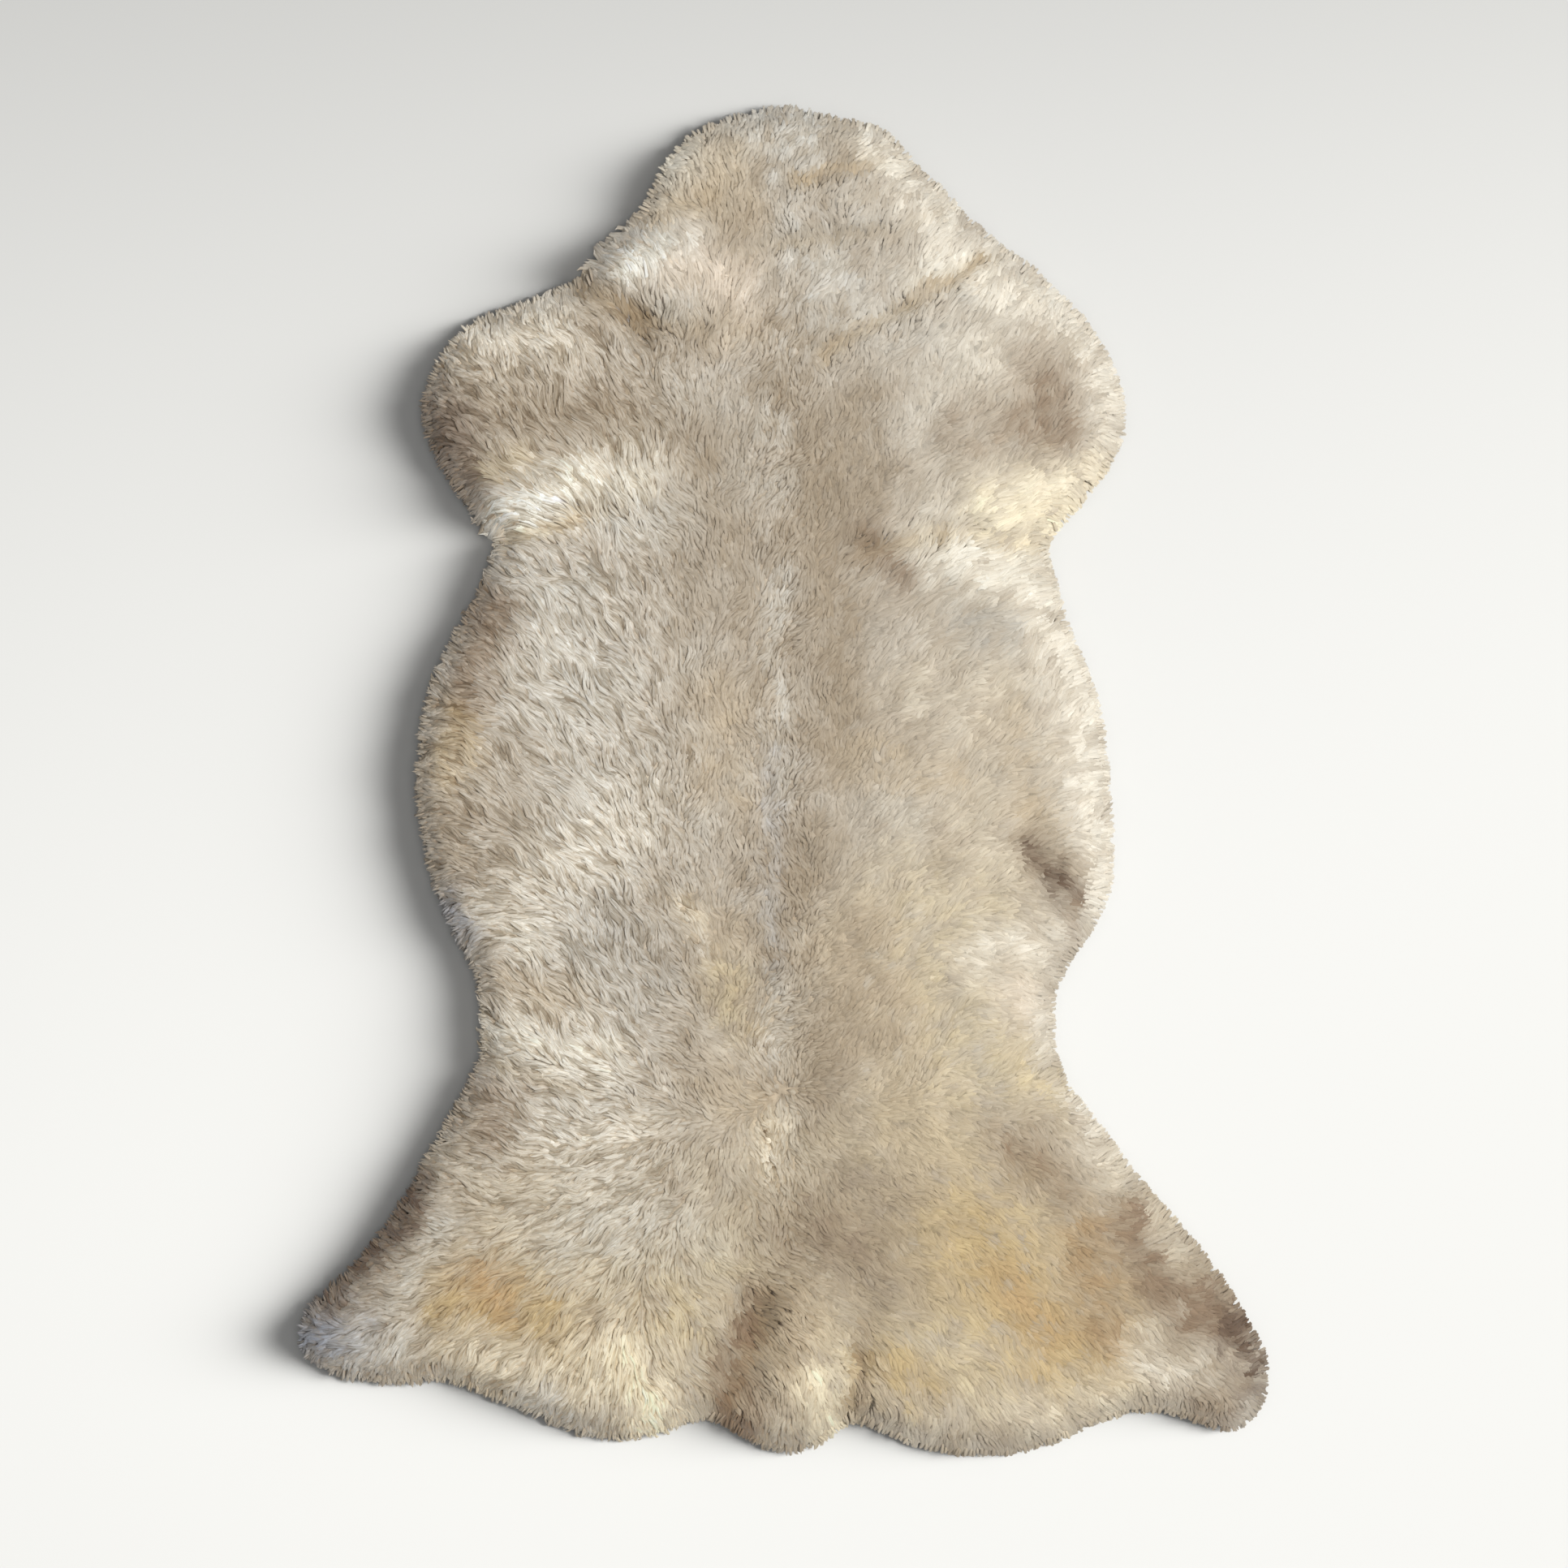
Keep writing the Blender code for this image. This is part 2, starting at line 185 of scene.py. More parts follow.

# Patches of colour, each along a line from its start to its end and fading over its radius. Most are
# the wool's own colour; those noted below are painted shade or painted highlight.
Patch = namedtuple("Patch", "name x0 y0 x1 y1 radius colour strength")
PATCHES = [Patch(*row) for row in (
    ("lower third", -180, -400, 220, -400, 95, "golden", 0.55),
    ("right side", 175, 300, 170, -60, 60, "cream", 0.3),
    ("right of the loin and hip", 112, -130, 108, -310, 70, "golden", 0.55),
    ("left side", -165, 120, -155, -250, 54, "light grey", 0.5),
    ("neck", 5, 480, 25, 360, 72, "light grey", 0.1),
    ("crown", -30, 505, 20, 512, 24, "light grey", 0.7),
    ("left cheek", -94, 494, -72, 468, 30, "white cream", 0.95),
    ("left of the crown", -50, 480, -35, 425, 20, "tan", 0.6),
    ("middle of the crown", 0, 482, 4, 478, 16, "light grey", 0.5),
    ("middle of the neck", -44, 436, -26, 398, 19, "taupe", 0.55),
    ("right of the crown", 40, 500, 50, 480, 12, "taupe", 0.6),
    ("right cheek", 66, 502, 125, 446, 22, "light cream", 0.9),
    # Along the neck wrinkles: tan and taupe lines of painted shade, and white cream lines of painted
    # highlight over them
    ("left neck wrinkle", -104, 440, -60, 452, 12, "tan", 0.5),
    ("over the neck wrinkles", 60, 484, 100, 478, 8, "white cream", 0.6),
    ("top neck wrinkle", 12, 462, 56, 474, 7, "tan", 0.7),
    ("third neck wrinkle", 2, 413, 70, 425, 7, "taupe", 0.3),
    ("right neck swell", 132, 408, 214, 366, 25, "light cream", 0.95),
    ("over the long neck wrinkle", 100, 380, 140, 404, 12, "white cream", 0.6),
    ("long neck wrinkle", 30, 328, 158, 404, 7, "tan", 0.7),
    ("foot of the neck", 40, 372, 88, 348, 28, "light grey", 0.4),
    ("neck tuft", -86, 394, -44, 378, 27, "peach", 0.7),
    ("foot of the neck tuft", -98, 366, -70, 358, 14, "light grey", 0.7),
    ("tips of the neck tuft", -124, 398, -98, 410, 18, "white", 1.0),
    # The gutter under the neck tuft, beside it and at its end: painted shade
    ("gutter under the neck tuft", -152, 382, -112, 354, 13, "taupe", 0.95),
    ("beside the gutter", -172, 352, -146, 352, 15, "taupe", 0.6),
    ("end of the gutter", -104, 350, -70, 340, 11, "taupe", 0.35),
    ("under the neck tuft", -54, 354, -30, 348, 12, "tan", 0.5),
    ("between the shoulders", -86, 290, -10, 262, 22, "light grey", 0.4),
    ("top of the left shoulder", -240, 326, -192, 348, 32, "light cream", 0.9),
    ("left shoulder", -225, 290, -130, 272, 34, "taupe", 0.75),
    ("inside the left shoulder", -120, 268, -90, 262, 16, "taupe", 0.2),
    ("left foreleg", -266, 282, -250, 232, 25, "dark brown", 0.72),
    ("over the left armpit tuft", -226, 240, -198, 248, 10, "golden", 0.4),
    ("left armpit tuft", -184, 218, -112, 238, 20, "white cream", 1.0),
    ("tips of the left armpit tuft", -226, 200, -192, 208, 13, "white", 0.9),
    ("under the left armpit", -208, 156, -196, 140, 18, "light grey", 0.6),
    ("inside the left armpit", -120, 206, -85, 200, 18, "light grey", 0.8),
    ("right shoulder", 200, 308, 206, 262, 25, "brown", 0.7),
    ("inside the right shoulder", 142, 274, 190, 264, 20, "brown", 0.4),
    ("over the right shoulder", 138, 326, 160, 316, 18, "light cream", 0.35),
    ("rim of the right shoulder", 236, 350, 266, 262, 18, "light cream", 1.0),
    ("under the right foreleg", 195, 220, 245, 234, 20, "cream", 0.95),
    ("right armpit", 160, 204, 214, 196, 19, "bright cream", 0.7),
    ("right armpit fold", 106, 182, 198, 150, 18, "white cream", 0.9),
    # The brown in the crease at the right armpit and the grey under its fold: painted shade
    ("crease at the right armpit", 62, 184, 86, 166, 18, "brown", 0.9),
    ("under the right armpit fold", 140, 122, 176, 112, 16, "grey", 0.5),
    ("withers", -58, 258, -42, 175, 26, "taupe", 0.65),
    ("left of the withers", -82, 170, -78, 125, 18, "taupe", 0.45),
    ("right of the shoulders", 58, 290, 66, 236, 24, "taupe", 0.75),
    ("right of the spine", 36, 250, 44, 30, 30, "taupe", 0.9),
    ("spine", -6, 160, -6, -215, 9, "light grey", 0.4),
    ("loin ridge", -8, 15, -2, -140, 10, "blue grey", 0.25),
    ("left of the middle", -48, 60, -42, -8, 22, "tan", 0.6),
    ("left of the loin", -56, -96, -46, -122, 17, "tan", 0.45),
    ("left of the croup", -46, -148, -40, -176, 17, "golden", 0.6),
    ("left of the rump", -50, -226, -36, -250, 19, "tan", 0.6),
    ("right of the loin", 30, -40, 34, -70, 18, "taupe", 0.5),
    ("right of the croup", 40, -175, 40, -240, 24, "taupe", 0.9),
    ("tan by the loin", 62, -118, 72, -180, 28, "tan", 0.9),
    ("taupe by the loin", 56, -112, 62, -190, 18, "taupe", 0.45),
    ("right of the croup and rump", 90, -225, 128, -360, 26, "tan", 0.45),
    ("left ribs", -172, 130, -160, 70, 32, "light grey", 0.35),
    ("outside of the left flank", -204, 20, -206, -40, 21, "taupe", 0.5),
    ("left belly", -206, -84, -118, -28, 24, "light cream", 0.45),
    # The brown of the left ribs' rim and the taupe of the left belly's rim below: partly the wool's own
    # colour, partly painted shade
    ("rim of the left ribs", -226, 140, -246, 56, 16, "brown", 0.75),
    ("rim of the left flank", -250, 44, -256, 8, 16, "honey", 0.45),
    ("rim of the left belly", -258, -32, -246, -70, 19, "taupe", 0.75),
    ("bottom of the left belly", -264, -92, -254, -122, 13, "blue grey", 0.7),
    ("middle of the left belly", -136, -98, -122, -108, 13, "grey", 0.35),
    ("left belly tuft", -234, -110, -198, -124, 14, "white cream", 0.45),
    ("above the left waist", -210, -160, -160, -166, 17, "tan", 0.55),
    ("inside the left waist", -140, -130, -100, -150, 22, "grey", 0.35),
    ("left waist tuft", -225, -194, -140, -212, 16, "white cream", 0.7),
    ("under the left waist", -224, -236, -230, -262, 18, "brown", 0.55),
    ("inside the left hip", -166, -282, -116, -274, 22, "light cream", 0.5),
    ("middle of the loin", 8, -40, 10, -95, 15, "taupe", 0.7),
    ("left loin curls", -72, -92, -66, -106, 10, "cream", 0.5),
    ("croup curls", -14, -262, -8, -296, 10, "cream", 0.7),
    ("right flank", 100, 70, 130, 60, 20, "cream", 0.25),
    ("middle of the right flank", 66, 20, 130, 4, 20, "tan", 0.55),
    ("rim of the right ribs", 215, 128, 238, 50, 19, "light cream", 1.0),
    ("rim of the right flank", 240, 40, 250, -92, 17, "light cream", 1.0),
    ("inside the right flank", 180, 40, 200, -60, 18, "tan", 0.6),
    ("right belly", 196, -56, 216, -84, 13, "dark brown", 0.75),
    # A thin line of painted shade along a fold
    ("bottom of the right belly fold", 220, -90, 224, -116, 6, "brown", 0.7),
    ("bottom of the right belly", 140, -136, 212, -120, 15, "light cream", 0.6),
    ("above the right waist", 176, -164, 190, -170, 18, "peach", 0.4),
    ("right waist", 180, -210, 196, -236, 20, "golden", 0.6),
    ("rim of the right waist", 212, -180, 250, -290, 12, "light cream", 0.6),
    ("right hip", 172, -278, 212, -316, 22, "brown", 0.6),
    ("right of the rump", 50, -308, 92, -318, 24, "taupe", 0.8),
    ("middle of the rump", 14, -350, 78, -378, 38, "taupe", 1.0),
    ("brown of the rump", 36, -344, 64, -352, 18, "brown", 0.4),
    ("left thigh", -174, -356, -90, -335, 32, "light grey", 0.55),
    ("left hind leg", -286, -318, -366, -408, 21, "dark brown", 0.82),
    ("inside the left hind leg", -262, -334, -302, -398, 13, "light grey", 0.6),
    ("left heel", -374, -430, -334, -430, 18, "blue grey", 0.95),
    ("foot of the left hind leg", -322, -440, -285, -424, 18, "light grey", 0.7),
    ("left haunch", -256, -398, -184, -410, 23, "honey", 0.8),
    ("inside the left haunch", -170, -438, -160, -444, 14, "honey", 0.45),
    ("middle of the left haunch", -236, -378, -212, -402, 15, "ochre", 0.6),
    # Painted shade in a fold
    ("fold of the left fan", -146, -408, -138, -418, 9, "brown", 0.6),
    ("rim of the left haunch", -236, -446, -160, -466, 17, "cream", 0.9),
    ("edge of the left fan", -200, -474, -150, -494, 10, "light grey", 0.8),
    ("left fan", -132, -436, -100, -486, 25, "cream", 1.0),
    ("middle of the left fan", -126, -444, -100, -490, 16, "bright cream", 0.9),
    ("rim of the right hip", 250, -290, 300, -346, 12, "cream", 0.4),
    ("right hind leg", 264, -338, 284, -388, 19, "brown", 0.9),
    ("right shin", 290, -392, 344, -418, 18, "brown", 1.0),
    ("right haunch", 150, -356, 216, -440, 38, "honey", 1.0),
    ("middle of the right haunch", 178, -388, 204, -424, 20, "ochre", 0.45),
    ("right of the right haunch", 234, -352, 246, -420, 18, "rust", 0.8),
    ("rim of the right haunch", 188, -486, 250, -478, 18, "cream", 0.45),
    ("right fan", 78, -444, 108, -466, 20, "honey", 0.75),
    ("right heel", 322, -478, 344, -488, 17, "brown", 0.6),
    ("rim of the right hind leg", 348, -426, 368, -452, 17, "dark brown", 0.95),
    ("under the right shin", 278, -440, 312, -458, 16, "light cream", 0.45),
    ("root of the tail", 4, -398, 12, -446, 19, "tan", 0.8),
    ("tail", 34, -464, 34, -500, 15, "bright cream", 0.8),
    # The grooves beside the tail: painted shade
    ("groove left of the tail", -26, -410, -38, -496, 18, "brown", 0.9),
    ("groove right of the tail", 64, -420, 60, -478, 8, "brown", 0.45),
)]

# Places where the wool parts: its locks sink there and take painted shade. One with a negative depth is
# a tuft, whose locks stand up and end in points.
Parting = namedtuple("Parting", "name x0 y0 x1 y1 width depth")
PARTINGS = [Parting(*row) for row in (
    ("top neck wrinkle", 8, 462, 78, 474, 6, 2),
    ("second neck wrinkle", 12, 438, 72, 450, 6, 1.5),
    ("third neck wrinkle", -2, 412, 76, 425, 6, 2.5),
    ("neck wrinkle to the right", 84, 422, 128, 440, 6, 1.5),
    ("long neck wrinkle", 28, 330, 100, 366, 6, 3),
    ("end of the long neck wrinkle", 100, 366, 158, 406, 6, 3),
    ("left neck wrinkle", -105, 437, -50, 452, 7, 2),
    ("neck tuft", -130, 392, -104, 406, 17, -5),
    ("gutter under the neck tuft", -152, 386, -112, 356, 9, 6),
    ("end of the gutter", -112, 360, -62, 346, 9, 3),
    ("left armpit tuft", -216, 208, -150, 236, 12, -4),
    ("crease under the left armpit", -218, 186, -158, 202, 6, 7),
    ("end of the crease", -160, 205, -122, 218, 6, 3),
    ("crease over the right armpit", 62, 176, 125, 192, 8, 4),
    ("right armpit", 125, 192, 200, 182, 6, 2),
    ("groove left of the tail", -10, -402, -42, -488, 11, 4),
    ("groove right of the tail", 58, -440, 52, -494, 6, 5),
    ("curls left of the loin", -74, -92, -68, -106, 7, -2),
    ("curls over the croup", -66, -126, -58, -136, 6, -2),
    ("curls on the croup", -20, -196, -14, -210, 7, -2),
    ("curls on the rump", -12, -262, -8, -300, 8, -2),
    ("curls left of the back", -66, 8, -70, 18, 5, -1.5),
    ("curls beside the tail", 66, -440, 74, -450, 6, -2),
    ("under the left waist tuft", -226, -216, -150, -238, 6, 3),
)]


# ---------------------------------------------------------------- reading the slab

GRID_STEP = 3           # spacing at which the slab's relief is read
MARGIN = 5 * OVERHANG   # how far past the slab it is read
LEDGE_CURVE = 0.8       # how straight the wool's top falls outside the slab, under 1 for a bulge
LEDGE_END = 0.06        # where the fall ends, as a share of the way still to go
NOISE_CELLS = 256       # how many swells a noise has before it repeats


def smooth(share):
    """A share from 0 to 1 that leaves 0 and reaches 1 gently."""
    return share * share * (3 - 2 * share)


def risen(value, start, end):
    """0 up to the start, and from there rising evenly to 1 at the end."""
    return np.clip((value - start) / (end - start), 0, 1)


def unit(vectors):
    """The vectors, each made 1 long."""
    return vectors / np.maximum(np.linalg.norm(vectors, axis=1), 1e-9)[:, None]


def direction(turn):
    """The directions that the angles point in."""
    return np.stack([np.cos(turn), np.sin(turn)], 1)


def between(grid, low, high, share):
    """The grid's values between the cells low and high, a share of the way along each axis."""
    (i, j), (i1, j1) = low.T, high.T
    near = grid[i, j] + (grid[i1, j] - grid[i, j]) * share[:, 0]
    far = grid[i, j1] + (grid[i1, j1] - grid[i, j1]) * share[:, 0]
    return near + (far - near) * share[:, 1]


def spot_noise(spots, size, seed):
    """Smooth noise from -1 to 1 over the floor, with swells about size millimetres wide."""
    table = np.random.default_rng(seed).uniform(-1, 1, (NOISE_CELLS, NOISE_CELLS))
    cell = spots / size
    low = np.floor(cell).astype(int)
    return between(table, low % NOISE_CELLS, (low + 1) % NOISE_CELLS, smooth(cell - low))


def blurred(grid, rounds):
    """The grid with each value averaged with its neighbours'."""
    for _ in range(rounds):
        wide = np.pad(grid, 1, mode="edge")
        grid = (2 * grid + wide[:-2, 1:-1] + wide[2:, 1:-1] + wide[1:-1, :-2] + wide[1:-1, 2:]) / 6
    return grid


def tree_of(spots):
    """A search tree that finds the spot nearest to a place."""
    tree = KDTree(len(spots))
    for i, (x, y) in enumerate(spots):
        tree.insert((x, y, 0), i)
    tree.balance()
    return tree


def rug_corners():
    """The lowest and the highest corner of the rug over the floor, in millimetres."""
    return (np.array(corner)[:2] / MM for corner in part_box("sheepskin"))


class Relief:
    """The slab read off as a grid, in millimetres: the height of its top, and how far each spot lies
    inside its rim."""

    def __init__(self, node):
        low, high = rug_corners()
        self.low = low - MARGIN
        shape = np.ceil((high - low + 2 * MARGIN) / GRID_STEP).astype(int)
        height = self.heights(node, shape)
        slab = height > SLAB_EDGE
        self.depth = blurred(self.from_rim(slab), rounds=4)
        ledge = SLAB_EDGE * np.clip(1 + self.depth / OVERHANG, LEDGE_END, 1) ** LEDGE_CURVE
        self.top = blurred(np.where(slab, height, ledge), rounds=1)
        self.inward = np.gradient(self.depth, GRID_STEP)

    def heights(self, node, shape):
        """The height of the slab's top at each place of the grid, and 0 beside it."""
        tree = BVHTree.FromObject(node, bpy.context.evaluated_depsgraph_get())
        height = np.zeros(shape)
        for cell in np.ndindex(*shape):
            x, y = (self.low + np.multiply(cell, GRID_STEP)) * MM
            found = tree.ray_cast(Vector((x, y, 1)), Vector((0, 0, -1)))[0]
            if found:
                height[cell] = found.z / MM
        return height

    def from_rim(self, slab):
        """How far each place of the grid lies inside the slab's rim, negative outside it."""
        rim = [np.argwhere(np.diff(slab, axis=axis)) + np.eye(2)[axis] / 2 for axis in (0, 1)]
        tree = tree_of(np.concatenate(rim) * GRID_STEP)
        away = np.zeros(slab.shape)
        for i, j in np.ndindex(slab.shape):
            away[i, j] = tree.find((i * GRID_STEP, j * GRID_STEP, 0))[2]
        return np.where(slab, away, -away)

    def read(self, grid, spots):
        """The grid's values at the spots."""
        cell = np.clip((spots - self.low) / GRID_STEP, 0, np.array(grid.shape) - 1.001)
        low = cell.astype(int)
        return between(grid, low, low + 1, cell - low)

    def outward(self, spots):
        """The direction from each spot to the nearest stretch of the rim."""
        return unit(-np.stack([self.read(grid, spots) for grid in self.inward], 1))


def nearness(row, width, spots):
    """1 on the row's line, a third at the width from it, and soon 0."""
    start = np.array((row.x0, row.y0), float)
    along = np.array((row.x1, row.y1), float) - start
    share = np.clip((spots - start) @ along / (along @ along), 0, 1)
    away = np.linalg.norm(spots - start - share[:, None] * along, axis=1) / width
    return np.exp(-away * away)


# ---------------------------------------------------------------- the wool's lie

LAY_SPREAD = 25           # how far round its place a row of the table of lays holds good
OUTWARD_WIDTH = 26        # how near to the rim the wool begins to turn outwards
OUTWARD_CURVE = 1.5       # how suddenly it turns, 1 for evenly
OUTWARD_SHARE = 0.8       # how far it has turned at the rim itself
WAVES = ((17, 11, 0.9), (48, 12, 0.6))   # width, seed and strength of the waves in its lie
CRIMP_NOISE = (8, 10)     # width and seed of its crimp
CRIMP = math.radians(25)  # how far the crimp turns it to each side
CRIMP_STRAY = 0.5         # how much further it does so where the wool strays
REACH_NOISE = (14, 13)    # width and seed of the swells in its reach
UNEVEN_REACH = 0.15       # how much its reach differs
STREAK_NOISE = (2.2, 41)  # width and seed of the ridges and valleys along its lie
STREAK_STEP = 1.7         # length of the steps by which they are drawn out
STREAK_STEPS = 4          # how many steps each way
STREAK_SPREAD = 0.42      # how far their noise is from 0 as a rule
STREAK_TOP = 0.7          # where the ridges are cut off, and so are broader than the valleys


def lie_of_wool(relief, spots):
    """Which way the wool lies at the spots, how far its locks reach and how far they stray, the
    angles in radians."""
    weight, reach, stray = np.zeros((3, len(spots)))
    heading = np.zeros((len(spots), 2))
    for lay in LAYS:
        away = np.linalg.norm(spots - (lay.x, lay.y), axis=1)
        near = 1 / (away**2 + LAY_SPREAD**2) ** 2
        turn = math.radians(lay.heading)
        heading += near[:, None] * (math.cos(turn), math.sin(turn))
        reach += near * lay.reach
        stray += near * lay.stray
        weight += near
    reach, stray = reach / weight, np.radians(stray / weight)
    out = np.clip(1 - relief.read(relief.depth, spots) / OUTWARD_WIDTH, 0, 1) ** OUTWARD_CURVE
    out = OUTWARD_SHARE * out[:, None]
    heading = unit(heading) * (1 - out) + relief.outward(spots) * out
    turn = np.arctan2(heading[:, 1], heading[:, 0])
    turn += stray * sum(far * spot_noise(spots, size, seed) for size, seed, far in WAVES)
    turn += (CRIMP_STRAY * stray + CRIMP) * spot_noise(spots, *CRIMP_NOISE)
    return turn, reach * (1 + UNEVEN_REACH * spot_noise(spots, *REACH_NOISE)), stray


def tufted(spots):
    """1 in the middle of a tuft."""
    return np.max([nearness(p, p.width, spots) for p in PARTINGS if p.depth < 0], axis=0)


def sunk_wool(spots, wider=0):
    """How far the wool lies below the slab's top, where it parts."""
    return sum(p.depth * nearness(p, p.width + wider, spots) for p in PARTINGS)


def softness(spots):
    """1 where the wool is combed soft and its locks hardly show, right of the spine. The neck and a
    strip left of the spine are nearly as soft, and a tuft is crisp."""
    x, y = spots.T
    right = smooth(risen(x, -10, 50))
    neck = 0.7 * risen(y, 320, 380)
    strip = 0.65 * np.exp(-(((x + 42) / 28) ** 2))
    return np.max([right, neck, strip], axis=0) * (1 - tufted(spots))


def crispness(spots):
    """1 where the locks are long and show most, on the left flank and in the tufts."""
    x, y = spots.T
    flank = risen(x, -60, -130) * np.maximum(risen(y, 430, 350), 0.3)
    return np.maximum(flank * np.maximum(risen(y, -380, -280), 0.4), tufted(spots))


def liveliness(spots):
    """How much the wool's colour clouds and mottles. The back and the rump do most, and the left
    flank least."""
    x, y = spots.T
    back = np.exp(-((x / 60) ** 2))
    rump = risen(y, -240, -320) * risen(x, -60, 0)
    return 1 + 1.2 * np.maximum(back, rump) - 0.65 * crispness(spots)


def streaks_along(relief, spots):
    """The ridges and valleys along the wool's lie, from about -2 in a valley to 0.7 on a ridge."""
    total = spot_noise(spots, *STREAK_NOISE)
    for way in (1, -1):
        place = spots
        for _ in range(STREAK_STEPS):
            place = place + way * STREAK_STEP * direction(lie_of_wool(relief, place)[0])
            total += spot_noise(place, *STREAK_NOISE)
    strength = 0.3 + 0.75 * crispness(spots) - 0.12 * softness(spots)
    usual = STREAK_SPREAD * math.sqrt(2 * STREAK_STEPS + 1)
    return np.minimum(total / usual, STREAK_TOP) * strength


# ---------------------------------------------------------------- the wool's colour

CLOUDS = (70, 33, 15)        # widths of the clouds of taupe and light grey over the whole fleece
CLOUD_CONTRAST = 0.5         # how sharply they stand out
CLOUD_SHARE = 0.55           # how far they take the colour at most
MOTTLES = (11, 6)            # widths of the fine mottle
SWELL_SEED = 21              # seed of each of these, before its width is added
WANDERING = ((22, 8), (8, 4))   # width of the waves in the patches' edges, and how far each goes
WANDERING_SEEDS = (23, 24)   # their seeds, across and along the rug
PATCH_SPREAD = 1.15          # how much larger the patches are than the table says
PATCH_MOTTLE = 0.5           # how much the mottle breaks them up


def linear(colour):
    """A colour of 0 to 255 as light."""
    share = np.array(colour) / 255
    return np.where(share > 0.04045, ((share + 0.055) / 1.055) ** 2.4, share / 12.92)


def swells(spots, sizes):
    """The sum of smooth noises of the sizes."""
    return sum(spot_noise(spots, size, SWELL_SEED + size) for size in sizes)


def tinted(colour, name, share):
    """The colour, taken a share of the way to the named one."""
    return colour + (linear(COLOURS[name]) - colour) * share[:, None]


def colour_of_wool(spots):
    """The wool's colour at the spots: its own, with the painted shade and highlight of some patches."""
    lively = liveliness(spots)
    calm = np.minimum(lively, 1)
    cloud = CLOUD_CONTRAST * np.sqrt(lively) * swells(spots, CLOUDS)
    mottle = swells(spots, MOTTLES)
    colour = np.tile(linear(COLOURS["greige"]), (len(spots), 1))
    for name, share in (("taupe", cloud), ("light grey", -cloud)):
        colour = tinted(colour, name, CLOUD_SHARE * np.clip(share, 0, 1))
    ragged = spots
    for size, far in WANDERING:
        ragged = ragged + far * np.stack([spot_noise(spots, size, seed) for seed in WANDERING_SEEDS], 1)
    for patch in PATCHES:
        share = patch.strength * nearness(patch, patch.radius * PATCH_SPREAD, ragged)
        share = np.clip(share * (1 + PATCH_MOTTLE * calm * mottle), 0, 1)
        colour = tinted(colour, patch.colour, share)
    return colour * np.exp((lively * mottle)[:, None] * MOTTLE_TINT)


def add_tone(mesh, colours):
    """Gives the mesh's points their colours, and a fourth value beside them, as its tone."""
    tone = mesh.color_attributes.new("tone", "FLOAT_COLOR", "POINT")
    tone.data.foreach_set("color", colours.ravel().astype(np.float32))


# ---------------------------------------------------------------- locks

# A kind of lock: how far apart the locks are, how wide they are, how wide each of their rings of
# three points is against that, and a seed. Its rings are evenly spaced from a lock's root, and the
# tip comes after them. For locks that lie on the skin, also how far they reach against the table of
# lays, how far they lie below the slab's top, how much they differ in height, and how far inside
# the overhang they end.
Kind = namedtuple("Kind", "spacing width rings seed reach drop jitter inset", defaults=[None] * 4)
TOP = Kind(3.55, 2.7, (0.8, 1.0, 0.8), seed=5, reach=1.0, drop=-0.1, jitter=0.75, inset=0)
UNDER = Kind(5.3, 6.2, (0.9, 1.0), seed=15, reach=0.8, drop=1.0, jitter=0.5, inset=4)
HANGING = Kind(2.0, 2.2, (0.9, 0.8), seed=8)

# Many locks: the points along the middle of each, its width, its colour and how much painted shade it
# takes where the wool parts
Locks = namedtuple("Locks", "path width colour shade")

SCATTER = 0.42          # how far a root is off an even grid, against the locks' spacing
ROOT_DEPTH = 3          # how far the roots lie below the slab's top
LONGER = 1.22           # how much longer the locks are than the table of lays says
ASTRAY = 0.22           # how far a single lock strays, against the wool round it
SIZES = (0.75, 1.2)     # its length and width, against its kind's
LEVELS = (-1, 0.6)      # its height, against its kind's jitter
ENDS = (-1.5, 3)        # how far inside the overhang it has to end, or outside it
CLUMP_SPACING = 10      # how far apart the clumps are in which neighbours lean together
CLUMP_SEED, CLUMP_RANGE_SEED = 6, 7   # for their places, and for their heights and light
CLUMP_PULL = 0.12       # how far a lock leans to the middle of its clump
CLUMP_HEIGHT = 0.25     # how much higher or lower a clump may lie
STREAK_HEIGHT = 0.5     # how high a ridge along the wool stands
TUFT_PULL = 0.6         # how much further locks lean together in a tuft
TUFT_REACH = 6          # how much further out a tuft's tips may end
TUFT_WIDTH = 0.4        # how much wider its locks are
EVEN_RIM = 0.6          # how much more even the rim of soft wool is
EVEN_LEVEL = 0.5        # how much more even soft wool's heights and light are
BLUNT_WIDTH = 8         # how near to the rim soft locks are blunt
BLUNTNESS = 0.65        # how blunt they are at the rim itself
CLUMP_LIGHT = 0.03      # how much lighter or darker a clump is
LOCK_LIGHT = 0.04       # how much lighter or darker a single lock is
LEVEL_LIGHT_AND_SHADE = 0.08      # painted light on a high lock and painted shade on a low one
DEEP = 5                # how far sunk wool has to lie to take the full painted shade
LOWEST_LOCK = 0.8       # how low a lock's middle may lie
LOWEST_TIP = 0.7        # how low a hanging lock's tip may lie
LOWEST_POINT = 0.3      # how low any point of a lock may lie

